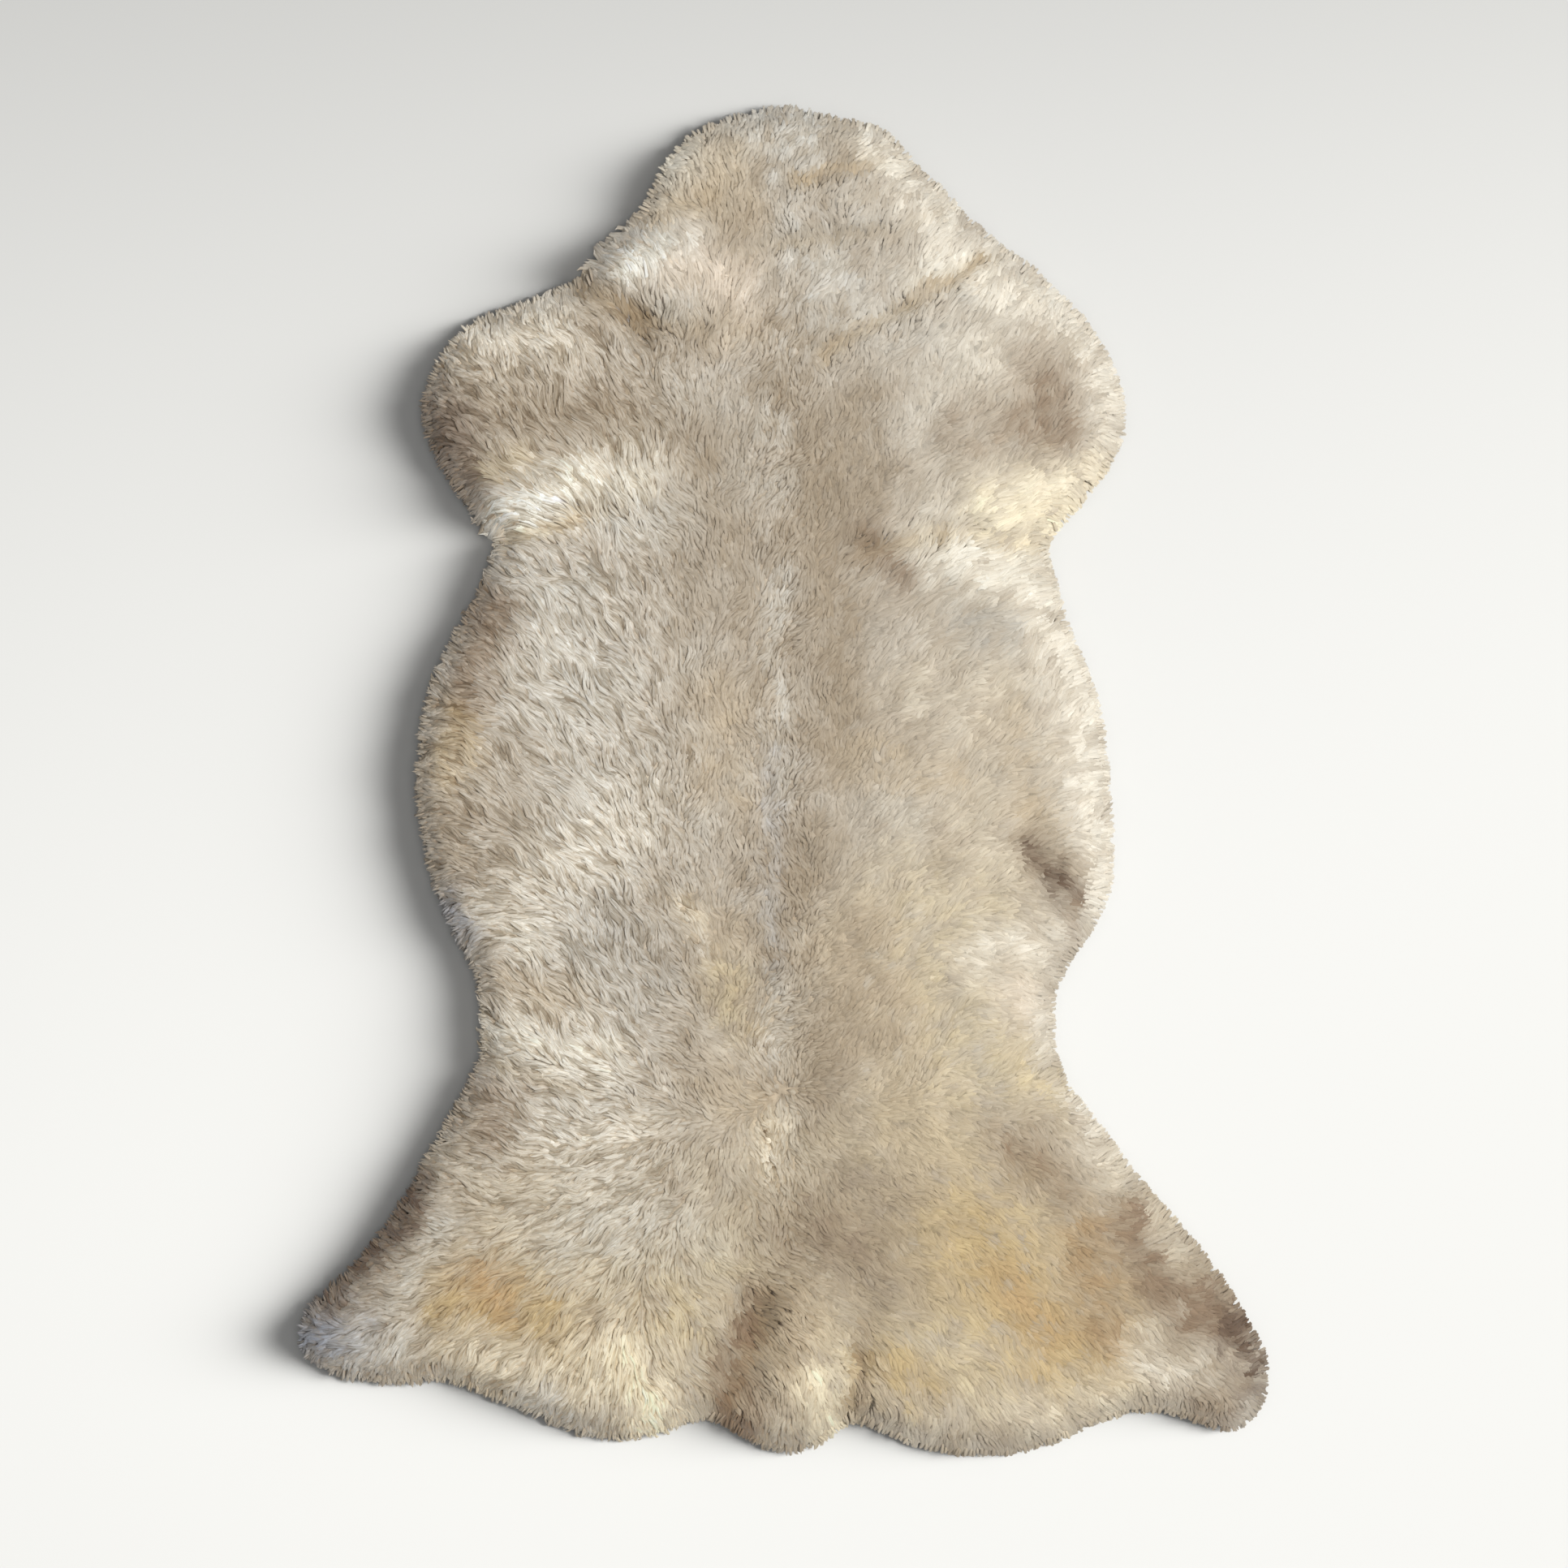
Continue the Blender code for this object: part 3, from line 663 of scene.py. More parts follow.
# The locks that hang on the slab's side wall
WALL_DEPTH = 2.5        # how far inside the rim they are rooted
WALL_SPREAD = 2.2       # how far off that they may be
WALL_NOISE = (12, 31)   # width and seed of the waves in their lie
WALL_STRAY = 0.3        # how far the waves turn them
WALL_ASTRAY = 0.12      # how far each turns by itself
WALL_ROOTS = (1.5, SLAB_EDGE - 1)   # their roots' heights
WALL_REACHES = (7, 14)  # how far they reach
WALL_ENDS = (-1, 3)     # how far inside the overhang they have to end, or outside it
WALL_TIPS = (0.2, 0.8)  # their tips' heights, against their roots'
WALL_BEND = 0.75        # how far along they bend
SOFT_BEND = 0.15        # how much further along soft ones do
WALL_BULGE = 1          # how far they rise where they bend
WALL_LIGHTS = (-0.15, 0.15)
WALL_WIDTHS = (0.7, 1.1)
SOFT_WIDTH = 0.3        # how much wider soft ones are


def scattered(spacing, rng):
    """Spots over the rug, a jittered spacing apart."""
    low, high = rug_corners()
    rows = np.arange(low[1], high[1], spacing * math.sqrt(3) / 2)
    columns = np.arange(low[0], high[0], spacing)
    x, y = np.meshgrid(columns, rows, indexing="ij")
    x = x + (np.arange(len(rows)) % 2) * spacing / 2
    spots = np.stack([x.ravel(), y.ravel()], 1)
    return spots + rng.uniform(-SCATTER, SCATTER, spots.shape) * spacing


def clump_of(spots):
    """The middle of the clump that each spot belongs to, and two values from -1 to 1 for the clump."""
    middles = scattered(CLUMP_SPACING, np.random.default_rng(CLUMP_SEED))
    tree = tree_of(middles)
    number = np.array([tree.find((x, y, 0))[1] for x, y in spots])
    rng = np.random.default_rng(CLUMP_RANGE_SEED)
    return middles[number], rng.uniform(-1, 1, (number.max() + 1, 2))[number].T


def kept_in(relief, spots, limit):
    """The spots, with those that lie too far outside the rug drawn back."""
    excess = np.clip(limit - relief.read(relief.depth, spots), 0, None)
    return spots - relief.outward(spots) * excess[:, None]


def path_through(places, heights):
    """The locks' points, from their places over the floor and their heights."""
    return np.stack([np.column_stack(point) for point in zip(places, heights)], 1)


def walked(relief, kind, spots, middle, rng):
    """The places over the floor of each lock's points, from its root along the lie of the wool. It
    leans to the middle of its clump, and its points are kept in where they would pass the rim."""
    steps = len(kind.rings)
    soft, tuft = softness(spots), tufted(spots)
    reach, stray = lie_of_wool(relief, spots)[1:]
    astray = ASTRAY * stray * rng.standard_normal(len(spots))
    step = LONGER * kind.reach * reach * rng.uniform(*SIZES, len(spots)) / steps
    pull = (CLUMP_PULL + TUFT_PULL * tuft)[:, None]
    uneven = rng.uniform(*ENDS, len(spots)) * (1 - EVEN_RIM * soft)
    limit = kind.inset - OVERHANG + uneven - TUFT_REACH * tuft
    places = [spots]
    for _ in range(steps):
        turn = lie_of_wool(relief, places[-1])[0]
        ahead = places[-1] + direction(turn + astray) * step[:, None]
        ahead += (middle - spots) * pull / steps
        places.append(kept_in(relief, ahead, limit))
    return places


def grown_wool(relief, kind):
    """The locks of one kind that lie on the skin."""
    rng = np.random.default_rng(kind.seed)
    coarse = 1
    spots = scattered(kind.spacing * coarse, rng)
    spots = spots[relief.read(relief.depth, spots) > 0]
    count = len(spots)
    soft = softness(spots)
    middle, (clump_level, clump_light) = clump_of(spots)
    places = walked(relief, kind, spots, middle, rng)

    streak = streaks_along(relief, spots)
    level = rng.uniform(*LEVELS, count) * kind.jitter * (1 - EVEN_LEVEL * soft)
    level += CLUMP_HEIGHT * clump_level + STREAK_HEIGHT * streak
    lift = level - kind.drop * (1 - EVEN_LEVEL * soft)
    heights = [relief.read(relief.top, place) - sunk_wool(place) + lift for place in places]
    heights[0] = np.maximum(heights[0] - lift - ROOT_DEPTH, SKIN)
    path = path_through(places, heights)
    at_rim = np.clip(1 - relief.read(relief.depth, places[-1]) / BLUNT_WIDTH, 0, 1)
    path[:, -2] += (path[:, -1] - path[:, -2]) * (BLUNTNESS * soft * at_rim)[:, None]
    path[:, :, 2] = np.maximum(path[:, :, 2], LOWEST_LOCK)

    # A clump's and a lock's lightness is random tone; a lock's height adds painted light or shade
    light = CLUMP_LIGHT * clump_light + LOCK_LIGHT * rng.standard_normal(count)
    light += LEVEL_LIGHT_AND_SHADE * (level - level.mean()) / kind.jitter
    seen = path[:, -2, :2]
    # Ridges along the wool take painted light, and valleys painted shade
    colour = colour_of_wool(seen) * np.exp(light[:, None] + streak[:, None] * STREAK_LIGHT_AND_SHADE)
    width = kind.width * coarse * rng.uniform(*SIZES, count) * (1 + TUFT_WIDTH * tufted(spots))
    return Locks(path, width, colour, np.clip(sunk_wool(seen) / DEEP, 0, 1))


def hanging_wool(relief):
    """The locks on the slab's side wall, which hang out over the floor."""
    rng = np.random.default_rng(HANGING.seed)
    spots = scattered(HANGING.spacing, rng)
    spots = spots[np.abs(relief.read(relief.depth, spots) - WALL_DEPTH) < WALL_SPREAD]
    count = len(spots)
    soft = softness(spots)
    out = relief.outward(spots)
    turn = np.arctan2(out[:, 1], out[:, 0])
    turn += WALL_STRAY * spot_noise(spots, *WALL_NOISE) + WALL_ASTRAY * rng.standard_normal(count)
    height = rng.uniform(*WALL_ROOTS, count)
    reach = rng.uniform(*WALL_REACHES, count)[:, None]
    limit = -OVERHANG + rng.uniform(*WALL_ENDS, count) * (1 - EVEN_RIM * soft)
    tip = kept_in(relief, spots + direction(turn) * reach, limit)
    tip_height = np.maximum(height * rng.uniform(*WALL_TIPS, count), LOWEST_TIP)
    bend = spots + (tip - spots) * (WALL_BEND + SOFT_BEND * soft)[:, None]
    bend_height = (height + tip_height) / 2 + WALL_BULGE
    path = path_through((spots, bend, tip), (height, bend_height, tip_height))
    light = 1 + rng.uniform(*WALL_LIGHTS, count) * (1 - EVEN_LEVEL * soft)
    colour = colour_of_wool((spots + tip) / 2) * light[:, None]
    width = HANGING.width * rng.uniform(*WALL_WIDTHS, count) * (1 + SOFT_WIDTH * soft)
    return Locks(path, width, colour, np.zeros(count))


# ---------------------------------------------------------------- the locks' meshes

RIDGE, LEFT, RIGHT, TIP = range(4)   # the lines of points along a lock
FLATNESS = 0.7         # how high a lock's ridge stands over its middle, against half its width
SOFT_FLATNESS = 0.65   # how much lower it is in soft wool
LOW_SIDES = 0.4        # how far a lock's sides lie below its middle, against its ridge
SOFT_SHADE = 0.85      # how much less painted shade the roots and sides of soft wool take
BRIGHTEST = 0.84       # how light a lock may be
CELL_MARGIN = 0.08     # bare share at each side of a lock's cell in the map of cells
SLIVER = 0.05          # share of the cell's length that the face at the root takes
PATTERN_SIZE = 50      # the locks' strands are taken from anywhere in so large a pattern

# All that a mesh of locks is made of: its points with their colours and lines, its faces' sizes and
# corners, and the corners' places in two maps
Parts = namedtuple("Parts", "points colours lines sizes corners cells strands")


def ring_points(locks, kind):
    """The points of every lock, in millimetres: for each ring its ridge and its two sides, then
    the tip."""
    flat = FLATNESS * (1 - SOFT_FLATNESS * softness(locks.path[:, 0, :2]))[:, None]
    points = []
    for i, wide in enumerate(kind.rings):
        along = locks.path[:, i + 1] - locks.path[:, max(i - 1, 0)]
        side = unit(np.column_stack([-along[:, 1], along[:, 0], np.zeros(len(along))]))
        half = (locks.width * wide / 2)[:, None]
        rise = half * flat * unit(np.cross(along, side))
        centre = locks.path[:, i]
        points += [
            centre + rise, centre + half * side - LOW_SIDES * rise,
            centre - half * side - LOW_SIDES * rise,
        ]
    points = np.stack([*points, locks.path[:, -1]], 1)
    points[:, :, 2] = np.maximum(points[:, :, 2], LOWEST_POINT)
    return points


def lock_faces(kind):
    """The faces of one lock, as corners (its point, place across the face, place along the lock)."""
    faces = [[(2, 0, 0), (1, 1, 0), (0, 0.5, SLIVER)]]
    rings = len(kind.rings)
    for ring in range(rings):
        low, high = ring / rings, (ring + 1) / rings
        for k in range(3):
            a, b = 3 * ring + k, 3 * ring + (k + 1) % 3
            if ring + 1 < rings:
                faces.append([(a, 0, low), (b, 1, low), (b + 3, 1, high), (a + 3, 0, high)])
            else:
                faces.append([(a, 0, low), (b, 1, low), (3 * rings, 0.5, high)])
    return faces


def lock_colours(locks, kind):
    """The colour of every point, with how much its strands show. A lock has painted shade at its root
    and along its sides, and where the wool parts."""
    roots = locks.path[:, 0, :2]
    soft, crisp = softness(roots)[:, None], crispness(roots)[:, None]
    # Where the wool parts, the lock takes painted shade
    ridge = locks.colour * GAIN * (1 - locks.shade[:, None] * PARTING_SHADE)
    ridge = np.minimum(ridge, BRIGHTEST)
    # The root and the sides take painted shade, less where the wool is soft
    root, side = (ridge * (tint + (1 - tint) * SOFT_SHADE * soft) for tint in (ROOT_SHADE, SIDE_SHADE))
    strands = 0.7 - 0.1 * soft + 0.8 * crisp
    colours = [root] * 3 + [ridge, side, side] * (len(kind.rings) - 1) + [ridge]
    return np.stack([np.column_stack([colour, strands]) for colour in colours], 1)


def parts_of(groups, seed):
    """What the mesh of the groups' locks is made of."""
    rng = np.random.default_rng(seed)
    total = sum(len(locks.path) for locks, _ in groups)
    columns = math.ceil(math.sqrt(total * 2))
    rows = math.ceil(total / columns)
    parts = []
    first_point = first_lock = 0
    for locks, kind in groups:
        points = ring_points(locks, kind)
        count, per_lock = points.shape[:2]
        faces = lock_faces(kind)
        corners = np.array([corner for face in faces for corner in face])
        starts = first_point + per_lock * np.arange(count)
        number = first_lock + np.arange(count)
        cell = np.stack([number % columns, number // columns], 1)[:, None]
        in_cell = corners[:, 1:] * (1 - 2 * CELL_MARGIN) + CELL_MARGIN
        in_pattern = rng.uniform(0, PATTERN_SIZE, (count, 2))[:, None]
        parts.append(Parts(
            points=points.reshape(-1, 3) * MM,
            colours=lock_colours(locks, kind).reshape(-1, 4),
            lines=np.tile([*[RIDGE, LEFT, RIGHT] * len(kind.rings), TIP], count),
            sizes=np.tile([len(face) for face in faces], count),
            corners=(corners[:, 0].astype(int) + starts[:, None]).ravel(),
            cells=((cell + in_cell) / (columns, rows)).reshape(-1, 2),
            strands=(corners[:, 1:] + in_pattern).reshape(-1, 2),
        ))
        first_point += count * per_lock
        first_lock += count
    return Parts(*map(np.concatenate, zip(*parts)))


def sharpen_sides(mesh, lines):
    """Makes the edges along the locks' two sides sharp, so that only the ridge is shaded round."""
    ends = np.zeros(len(mesh.edges) * 2, dtype=np.int32)
    mesh.edges.foreach_get("vertices", ends)
    line = lines[ends.reshape(-1, 2)]
    along_side = (line.min(1) > RIDGE) & (line.sum(1) != LEFT + RIGHT)
    mesh.edges.foreach_set("use_edge_sharp", along_side)


def lock_mesh(name, groups):
    """One mesh of many locks, with their colours and two maps: one with a cell for each lock, and
    one that runs along the locks for the strands drawn on them."""
    parts = parts_of(groups, seed=len(name))
    mesh = bpy.data.meshes.new(name)
    mesh.vertices.add(len(parts.points))
    mesh.vertices.foreach_set("co", parts.points.ravel().astype(np.float32))
    mesh.loops.add(len(parts.corners))
    mesh.loops.foreach_set("vertex_index", parts.corners.astype(np.int32))
    mesh.polygons.add(len(parts.sizes))
    starts = np.cumsum(parts.sizes) - parts.sizes
    mesh.polygons.foreach_set("loop_start", starts.astype(np.int32))
    mesh.update(calc_edges=True)
    mesh.shade_smooth()
    sharpen_sides(mesh, parts.lines)
    add_tone(mesh, parts.colours)
    for title, places in (("OFBake", parts.cells), ("strand", parts.strands)):
        layer = mesh.uv_layers.new(name=title)
        layer.uv.foreach_set("vector", places.ravel().astype(np.float32))
    mesh.uv_layers.active = mesh.uv_layers["OFBake"]
    mesh.uv_layers["OFBake"].active_render = True
    piece = bpy.data.objects.new(name, mesh)
    bpy.context.scene.collection.objects.link(piece)
    return piece


def make_fleece(relief):
    """All of the wool, in bands from left to right with as many locks each."""
    groups = [(grown_wool(relief, kind), kind) for kind in (TOP, UNDER)]
    groups.append((hanging_wool(relief), HANGING))
    across = np.sort(np.concatenate([locks.path[:, 0, 0] for locks, _ in groups]))
    edges = [-math.inf, *(part[-1] for part in np.array_split(across, len(BANDS)))]
    fleece = []
    for name, left, right in zip(BANDS, edges, edges[1:]):
        band = []
        for locks, kind in groups:
            held = (locks.path[:, 0, 0] > left) & (locks.path[:, 0, 0] <= right)
            band.append((Locks(*(values[held] for values in locks)), kind))
        fleece.append(lock_mesh(name, band))
    return fleece


# ---------------------------------------------------------------- skin and undercoat

HIDE_STEP = 16          # spacing of the skin's points
HIDE_INSET = 6          # how far its edge lies inside the rim
UNDERCOAT_STEP = 8      # and the same for the undercoat
UNDERCOAT_INSET = 1.5
UNDERCOAT_DEPTH = 1.6   # how far the undercoat lies below the slab's top
UNDERCOAT_RISE = 0.9    # how much higher it lies where the wool is soft
PARTED_DEPTH = 1.1      # how far it sinks where the wool parts, against the locks
PARTED_WIDTH = 5        # how much wider it does so
EDGE_ROUNDS = 3         # how often a sheet's edge is moved on to the outline and smoothed
EDGE_SMOOTHING = 0.3


def deselect_all():
    for piece in bpy.context.selected_objects:
        piece.select_set(False)


def points_of(mesh):
    """The mesh's points, in metres."""
    flat = np.zeros(len(mesh.vertices) * 3)
    mesh.vertices.foreach_get("co", flat)
    return flat.reshape(-1, 3)


def cut_sheet(name, relief, step, inset):
    """A flat grid cut to the rug's outline, the inset within its rim."""
    deselect_all()
    low, high = rug_corners()
    middle, size = (low + high) / 2 * MM, (high - low) * MM
    columns, rows = np.ceil(size / (step * MM)).astype(int)
    bpy.ops.mesh.primitive_grid_add(
        x_subdivisions=int(columns), y_subdivisions=int(rows), size=1,
        location=(*middle, 0), scale=(1, 1, 1),
    )
    piece = bpy.context.object
    piece.name = piece.data.name = name
    piece.scale = (*size, 1)
    bpy.ops.object.transform_apply(location=True, rotation=True, scale=True)
    mesh = piece.data
    centres = np.zeros(len(mesh.polygons) * 3)
    mesh.polygons.foreach_get("center", centres)
    outside = relief.read(relief.depth, centres.reshape(-1, 3)[:, :2] / MM) < inset
    bpy.ops.object.mode_set(mode="EDIT")
    bpy.ops.mesh.select_mode(type="FACE")
    bpy.ops.mesh.select_all(action="DESELECT")
    bpy.ops.object.mode_set(mode="OBJECT")
    mesh.polygons.foreach_set("select", outside)
    bpy.ops.object.mode_set(mode="EDIT")
    bpy.ops.mesh.delete(type="FACE")
    bpy.ops.object.mode_set(mode="OBJECT")
    snap_edge(piece, relief, inset)
    return piece


def snap_edge(piece, relief, inset):
    """Moves the sheet's stepped edge on to the outline."""
    bm = bmesh.new()
    bm.from_mesh(piece.data)
    edge = [v for v in bm.verts if v.is_boundary]
    for _ in range(EDGE_ROUNDS):
        spots = np.array([v.co.xy for v in edge]) / MM
        move = relief.outward(spots) * (relief.read(relief.depth, spots) - inset)[:, None]
        for vert, place in zip(edge, (spots + move) * MM):
            vert.co.xy = place
        bmesh.ops.smooth_vert(
            bm, verts=edge, factor=EDGE_SMOOTHING, use_axis_x=True, use_axis_y=True)
    bm.to_mesh(piece.data)
    bm.free()


def make_hide(relief):
    """The tanned skin under the wool."""
    hide = cut_sheet("hide", relief, HIDE_STEP, HIDE_INSET)
    solid = hide.modifiers.new("thickness", "SOLIDIFY")
    solid.thickness = SKIN * MM
    solid.offset = 1
    bpy.context.view_layer.objects.active = hide
    bpy.ops.object.modifier_apply(modifier=solid.name)
    hide.data.shade_smooth()
    return hide


def paint(mesh, tint):
    """Gives a surface the wool's colours, with the tint's painted shade, but less of it where the wool
    is soft.
    """
    spots = points_of(mesh)[:, :2] / MM
    colour = colour_of_wool(spots) * (1 - (1 - tint) * (1 - softness(spots)[:, None]))
    add_tone(mesh, np.column_stack([colour, np.ones(len(colour))]))


def make_undercoat(relief):
    """The dense short wool between the locks' roots, a closed body that stands on the skin."""
    piece = cut_sheet("undercoat", relief, UNDERCOAT_STEP, UNDERCOAT_INSET)
    mesh = piece.data
    place = points_of(mesh)
    spots = place[:, :2] / MM
    depth = UNDERCOAT_DEPTH - UNDERCOAT_RISE * softness(spots)
    depth += PARTED_DEPTH * sunk_wool(spots, wider=PARTED_WIDTH)
    place[:, 2] = np.maximum(relief.read(relief.top, spots) - depth, SKIN + 1) * MM
    mesh.vertices.foreach_set("co", place.ravel())
    deselect_all()
    piece.select_set(True)
    bpy.context.view_layer.objects.active = piece
    bpy.ops.object.mode_set(mode="EDIT")
    bpy.ops.mesh.select_all(action="SELECT")
    bpy.ops.mesh.extrude_region_move(TRANSFORM_OT_translate={"value": (0, 0, -MM)})
    bpy.ops.object.mode_set(mode="OBJECT")
    for vert in mesh.vertices:
        if vert.select:
            vert.co.z = SKIN * MM
    # The undercoat takes painted shade, less where the wool is soft
    paint(mesh, UNDERCOAT_SHADE)
    bpy.ops.object.mode_set(mode="EDIT")
    bpy.ops.mesh.select_all(action="SELECT")
    bpy.ops.mesh.normals_make_consistent(inside=False)
    bpy.ops.object.mode_set(mode="OBJECT")
    mesh.shade_smooth()
    return piece


# ---------------------------------------------------------------- materials

WOOL_BUMP, FUZZ_BUMP, SUEDE_BUMP = 0.0005, 0.001, 0.0006   # heights of the bumps, in metres
STRAND_STRETCH = (2.6, 1.5, 1)   # how narrow and how short the strands on a lock are
STRAND_TINT = (0.8, 1.0, 1.25)   # how much lighter or darker than the lock they are
LIT_MIDDLE = (0, -0.35, 0)       # the middle of what the low softbox lights, in metres
GLOW_FROM, GLOW_TO = 1.14, 2.1   # how far from it the light fades away, in metres
GLOW = 0.56                      # how much the floor glows there


def set_up(node, *inputs, **named):
    """Gives a node its first inputs in their order, and by name its settings, in small letters, and
    then other inputs. An input is a value or another node's output."""
    given = list(zip(node.inputs, inputs))
    for name, value in named.items():
        if name.islower():
            setattr(node, name, value)
        else:
            given.append((node.inputs[name.replace("_", " ")], value))
    for socket, value in given:
        if isinstance(value, bpy.types.NodeSocket):
            node.id_data.links.new(value, socket)
        else:
            socket.default_value = value
    return node


def new_material(name):
    """A material, its shader, and a maker of more nodes in it."""
    material = bpy.data.materials.new(name)
    material.use_nodes = True
    nodes = material.node_tree.nodes

    def add(kind, *inputs, **named):
        return set_up(nodes.new("ShaderNode" + kind), *inputs, **named)

    return material, nodes["Principled BSDF"], add


def wool_material():
    """Clipped undyed wool: each lock in its tone, which holds its colour and its painted light and
    shade, with strands and crimp along it.
    """
    material, shader, add = new_material("clipped wool")
    tone = add("Attribute", attribute_name="tone")
    strand = add("UVMap", uv_map="strand")
    along = add("Mapping", Vector=strand.outputs["UV"], Scale=STRAND_STRETCH)
    streaks = add("TexNoise", Vector=along.outputs["Vector"], Scale=1.0, Detail=2.0)
    centred = add("Math", streaks.outputs["Fac"], 0.5, operation="SUBTRACT")
    strength = add("Math", centred.outputs["Value"], tone.outputs["Alpha"], operation="MULTIPLY")
    shift = add("VectorMath", STRAND_TINT, operation="SCALE", Scale=strength.outputs["Value"])
    factor = add("VectorMath", shift.outputs["Vector"], (1, 1, 1), operation="ADD")
    tint = add("VectorMath", tone.outputs["Color"], factor.outputs["Vector"], operation="MULTIPLY")
    bump = add("Bump", Height=streaks.outputs["Fac"], Strength=0.5, Distance=WOOL_BUMP)
    set_up(
        shader, Base_Color=tint.outputs["Vector"], Normal=bump.outputs["Normal"], Roughness=0.72,
        Specular_IOR_Level=0.25, Sheen_Weight=0.25, Sheen_Roughness=0.5)
    return material


def undercoat_material():
    """The wool's shaded depth, matt and blotched."""
    material, shader, add = new_material("undercoat wool")
    place = add("TexCoord").outputs["Object"]
    tone = add("Attribute", attribute_name="tone")
    blotches = add("TexNoise", Vector=place, Scale=160.0, Detail=4.0)
    spread = add(
        "MapRange", Value=blotches.outputs["Fac"], From_Min=0.3, From_Max=0.7, To_Min=0.6, To_Max=1.1)
    tint = add(
        "VectorMath", tone.outputs["Color"], operation="SCALE", Scale=spread.outputs["Result"])
    fuzz = add("TexNoise", Vector=place, Scale=700.0, Detail=3.0)
    bump = add("Bump", Height=fuzz.outputs["Fac"], Strength=0.8, Distance=FUZZ_BUMP)
    set_up(
        shader, Base_Color=tint.outputs["Vector"], Normal=bump.outputs["Normal"], Roughness=0.95)
    return material


def suede_material():
    """The flesh side of the tanned skin: pale suede with a fine nap and faint blotches."""
    material, shader, add = new_material("suede")
    place = add("TexCoord").outputs["Object"]
    blotches = add("TexNoise", Vector=place, Scale=14.0, Detail=5.0)
    ramp = add("ValToRGB", blotches.outputs["Fac"])
    for element, position, name in zip(
            ramp.color_ramp.elements, (0.3, 0.72), ("dark suede", "pale suede")):
        element.position = position
        element.color = (*linear(COLOURS[name]), 1)
    nap = add("TexNoise", Vector=place, Scale=900.0, Detail=3.0)
    bump = add("Bump", Height=nap.outputs["Fac"], Strength=0.35, Distance=SUEDE_BUMP)
    set_up(
        shader, Base_Color=ramp.outputs["Color"], Normal=bump.outputs["Normal"], Roughness=0.92,
        Sheen_Weight=0.3)
    return material


def floor_material():
    """A plain pale floor. Out of the softbox's reach, where only low views see it, it glows a little
    and so stays pale."""
    material, shader, add = new_material("pale floor")
    place = add("TexCoord").outputs["Object"]
    away = add("VectorMath", place, LIT_MIDDLE, operation="DISTANCE")
    glow = add(
        "MapRange", interpolation_type="SMOOTHSTEP", Value=away.outputs["Value"], From_Min=GLOW_FROM,
        From_Max=GLOW_TO, To_Max=GLOW)
    set_up(
        shader, Base_Color=(0.66, 0.66, 0.645, 1), Roughness=0.9, Specular_IOR_Level=0.1,
        Emission_Color=(1, 1, 0.985, 1), Emission_Strength=glow.outputs["Result"])
    return material


# ---------------------------------------------------------------- floor, light and camera

IMAGE_WIDTH = 1217             # what the picture's side spans on the floor
CAMERA_PLACE = (1, -2, 2600)
SENSOR = 36
FLOOR_SIZE, FLOOR_DROP = 16, 0.0004   # in metres, like the softboxes' sizes and places
LIGHT_COLOUR = (1, 0.995, 0.98)
LIGHT_ALL_AROUND, WALL_LIGHT = 0.277, 0.76


def make_camera():
    """Straight above, with the neck at the top of the picture."""
    camera = bpy.data.cameras.new("overhead")
    camera.sensor_width = SENSOR
    camera.lens = SENSOR * CAMERA_PLACE[2] / IMAGE_WIDTH
    camera.clip_end = 100
    holder = bpy.data.objects.new("overhead", camera)
    holder.location = Vector(CAMERA_PLACE) * MM
    bpy.context.scene.collection.objects.link(holder)
    bpy.context.scene.camera = holder


def add_softbox(name, lit, place, aim, size, spread, power):
    """A square gridded softbox that lights only the given objects."""
    lamp = bpy.data.lights.new(name, "AREA")
    lamp.size = size
    lamp.spread = math.radians(spread)
    lamp.energy = power
    lamp.color = LIGHT_COLOUR
    holder = bpy.data.objects.new(name, lamp)
    holder.location = place
    holder.rotation_euler = (Vector(aim) - Vector(place)).to_track_quat("-Z", "Y").to_euler()
    bpy.context.scene.collection.objects.link(holder)
    holder.light_linking.receiver_collection = bpy.data.collections.new("lit by the " + name)
    for piece in lit:
        holder.light_linking.receiver_collection.objects.link(piece)


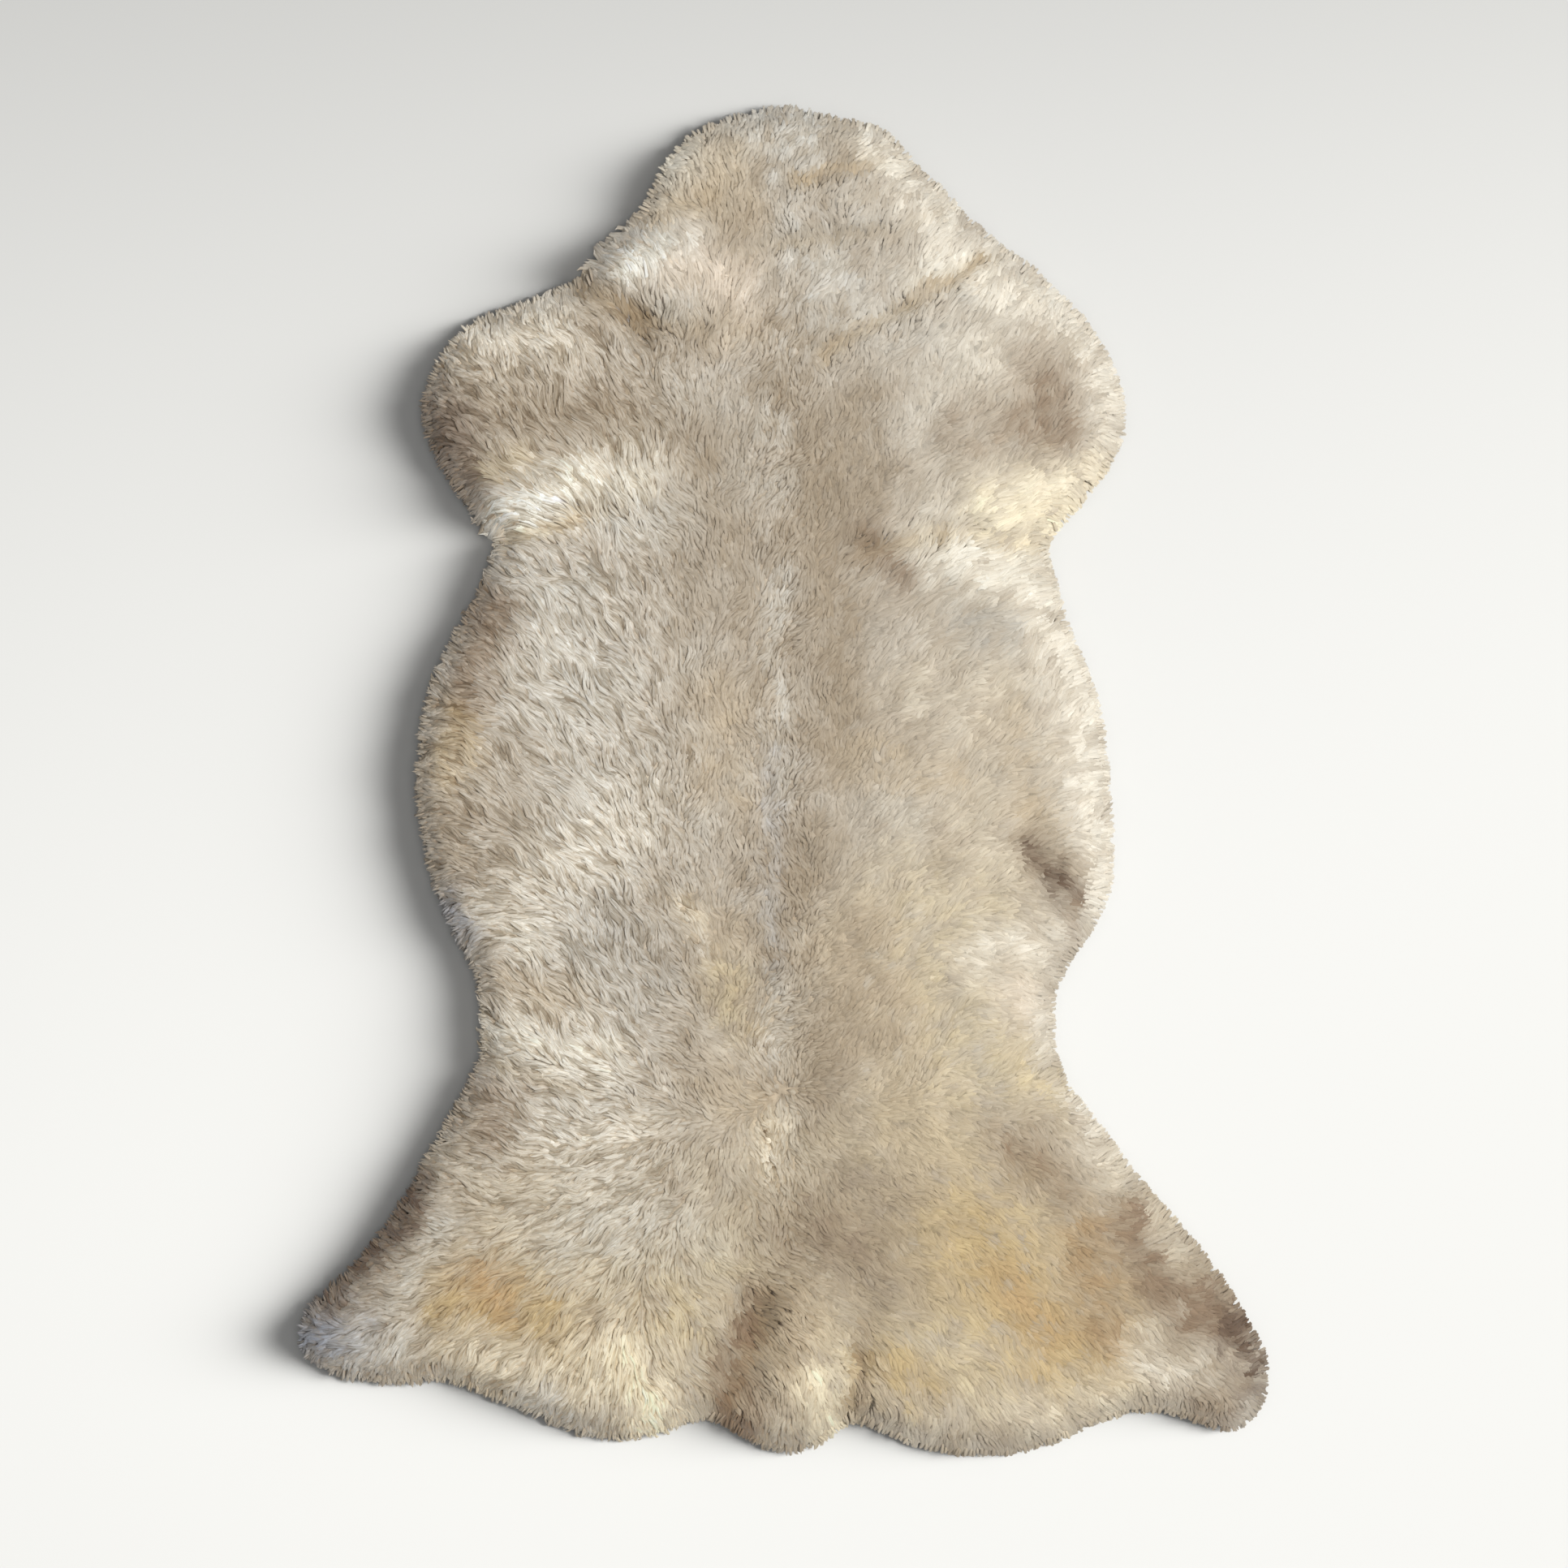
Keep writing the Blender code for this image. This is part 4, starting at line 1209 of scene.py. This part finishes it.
def make_surroundings():
    """A little light from all around, and a pale wall behind the floor in low views."""
    world = bpy.data.worlds.new("light all around")
    world.use_nodes = True
    nodes = world.node_tree.nodes
    seen = nodes.new("ShaderNodeLightPath").outputs["Is Camera Ray"]
    light, wall = nodes["Background"], nodes.new("ShaderNodeBackground")
    for background, strength in ((light, LIGHT_ALL_AROUND), (wall, WALL_LIGHT)):
        set_up(background, Color=(1, 1, 1, 1), Strength=strength)
    mix = set_up(
        nodes.new("ShaderNodeMixShader"), seen, light.outputs["Background"],
        wall.outputs["Background"])
    set_up(nodes["World Output"], Surface=mix.outputs["Shader"])
    bpy.context.scene.world = world


def make_studio(rug):
    """A pale floor lit by a low softbox on the right, the rug by one nearly overhead, and a little
    light from all around."""
    deselect_all()
    bpy.ops.mesh.primitive_plane_add(size=FLOOR_SIZE, location=(0, 0, -FLOOR_DROP))
    floor = bpy.context.object
    floor.name = "floor"
    bpy.ops.object.transform_apply(location=True, rotation=True, scale=True)
    floor.data.materials.append(floor_material())
    add_softbox(
        "low softbox", [floor], place=(3.27, -0.10, 1.51), aim=(-0.37, -0.43, 0), size=2.38,
        spread=36.9, power=54)
    add_softbox(
        "overhead softbox", rug, place=(0.9, 0.1, 2.6), aim=(0, 0, 0), size=1.0, spread=180, power=75)
    make_surroundings()
    bpy.context.scene.view_settings.view_transform = "Standard"


# ---------------------------------------------------------------- the rug

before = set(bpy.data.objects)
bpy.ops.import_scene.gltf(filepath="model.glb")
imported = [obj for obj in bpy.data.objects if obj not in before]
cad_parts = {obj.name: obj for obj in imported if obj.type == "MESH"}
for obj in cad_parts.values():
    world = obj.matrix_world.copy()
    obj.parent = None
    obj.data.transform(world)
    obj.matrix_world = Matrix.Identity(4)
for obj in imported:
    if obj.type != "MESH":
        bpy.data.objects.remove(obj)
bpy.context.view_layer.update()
relief = Relief(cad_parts["sheepskin"])
hide = make_hide(relief)
hide.data.materials.append(suede_material())
undercoat = make_undercoat(relief)
undercoat.data.materials.append(undercoat_material())
fleece = make_fleece(relief)
wool = wool_material()
for piece in fleece:
    piece.data.materials.append(wool)

for piece in [hide, undercoat] + fleece:
    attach(piece, "root")
    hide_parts("sheepskin")
make_studio([hide, undercoat] + fleece)
make_camera()
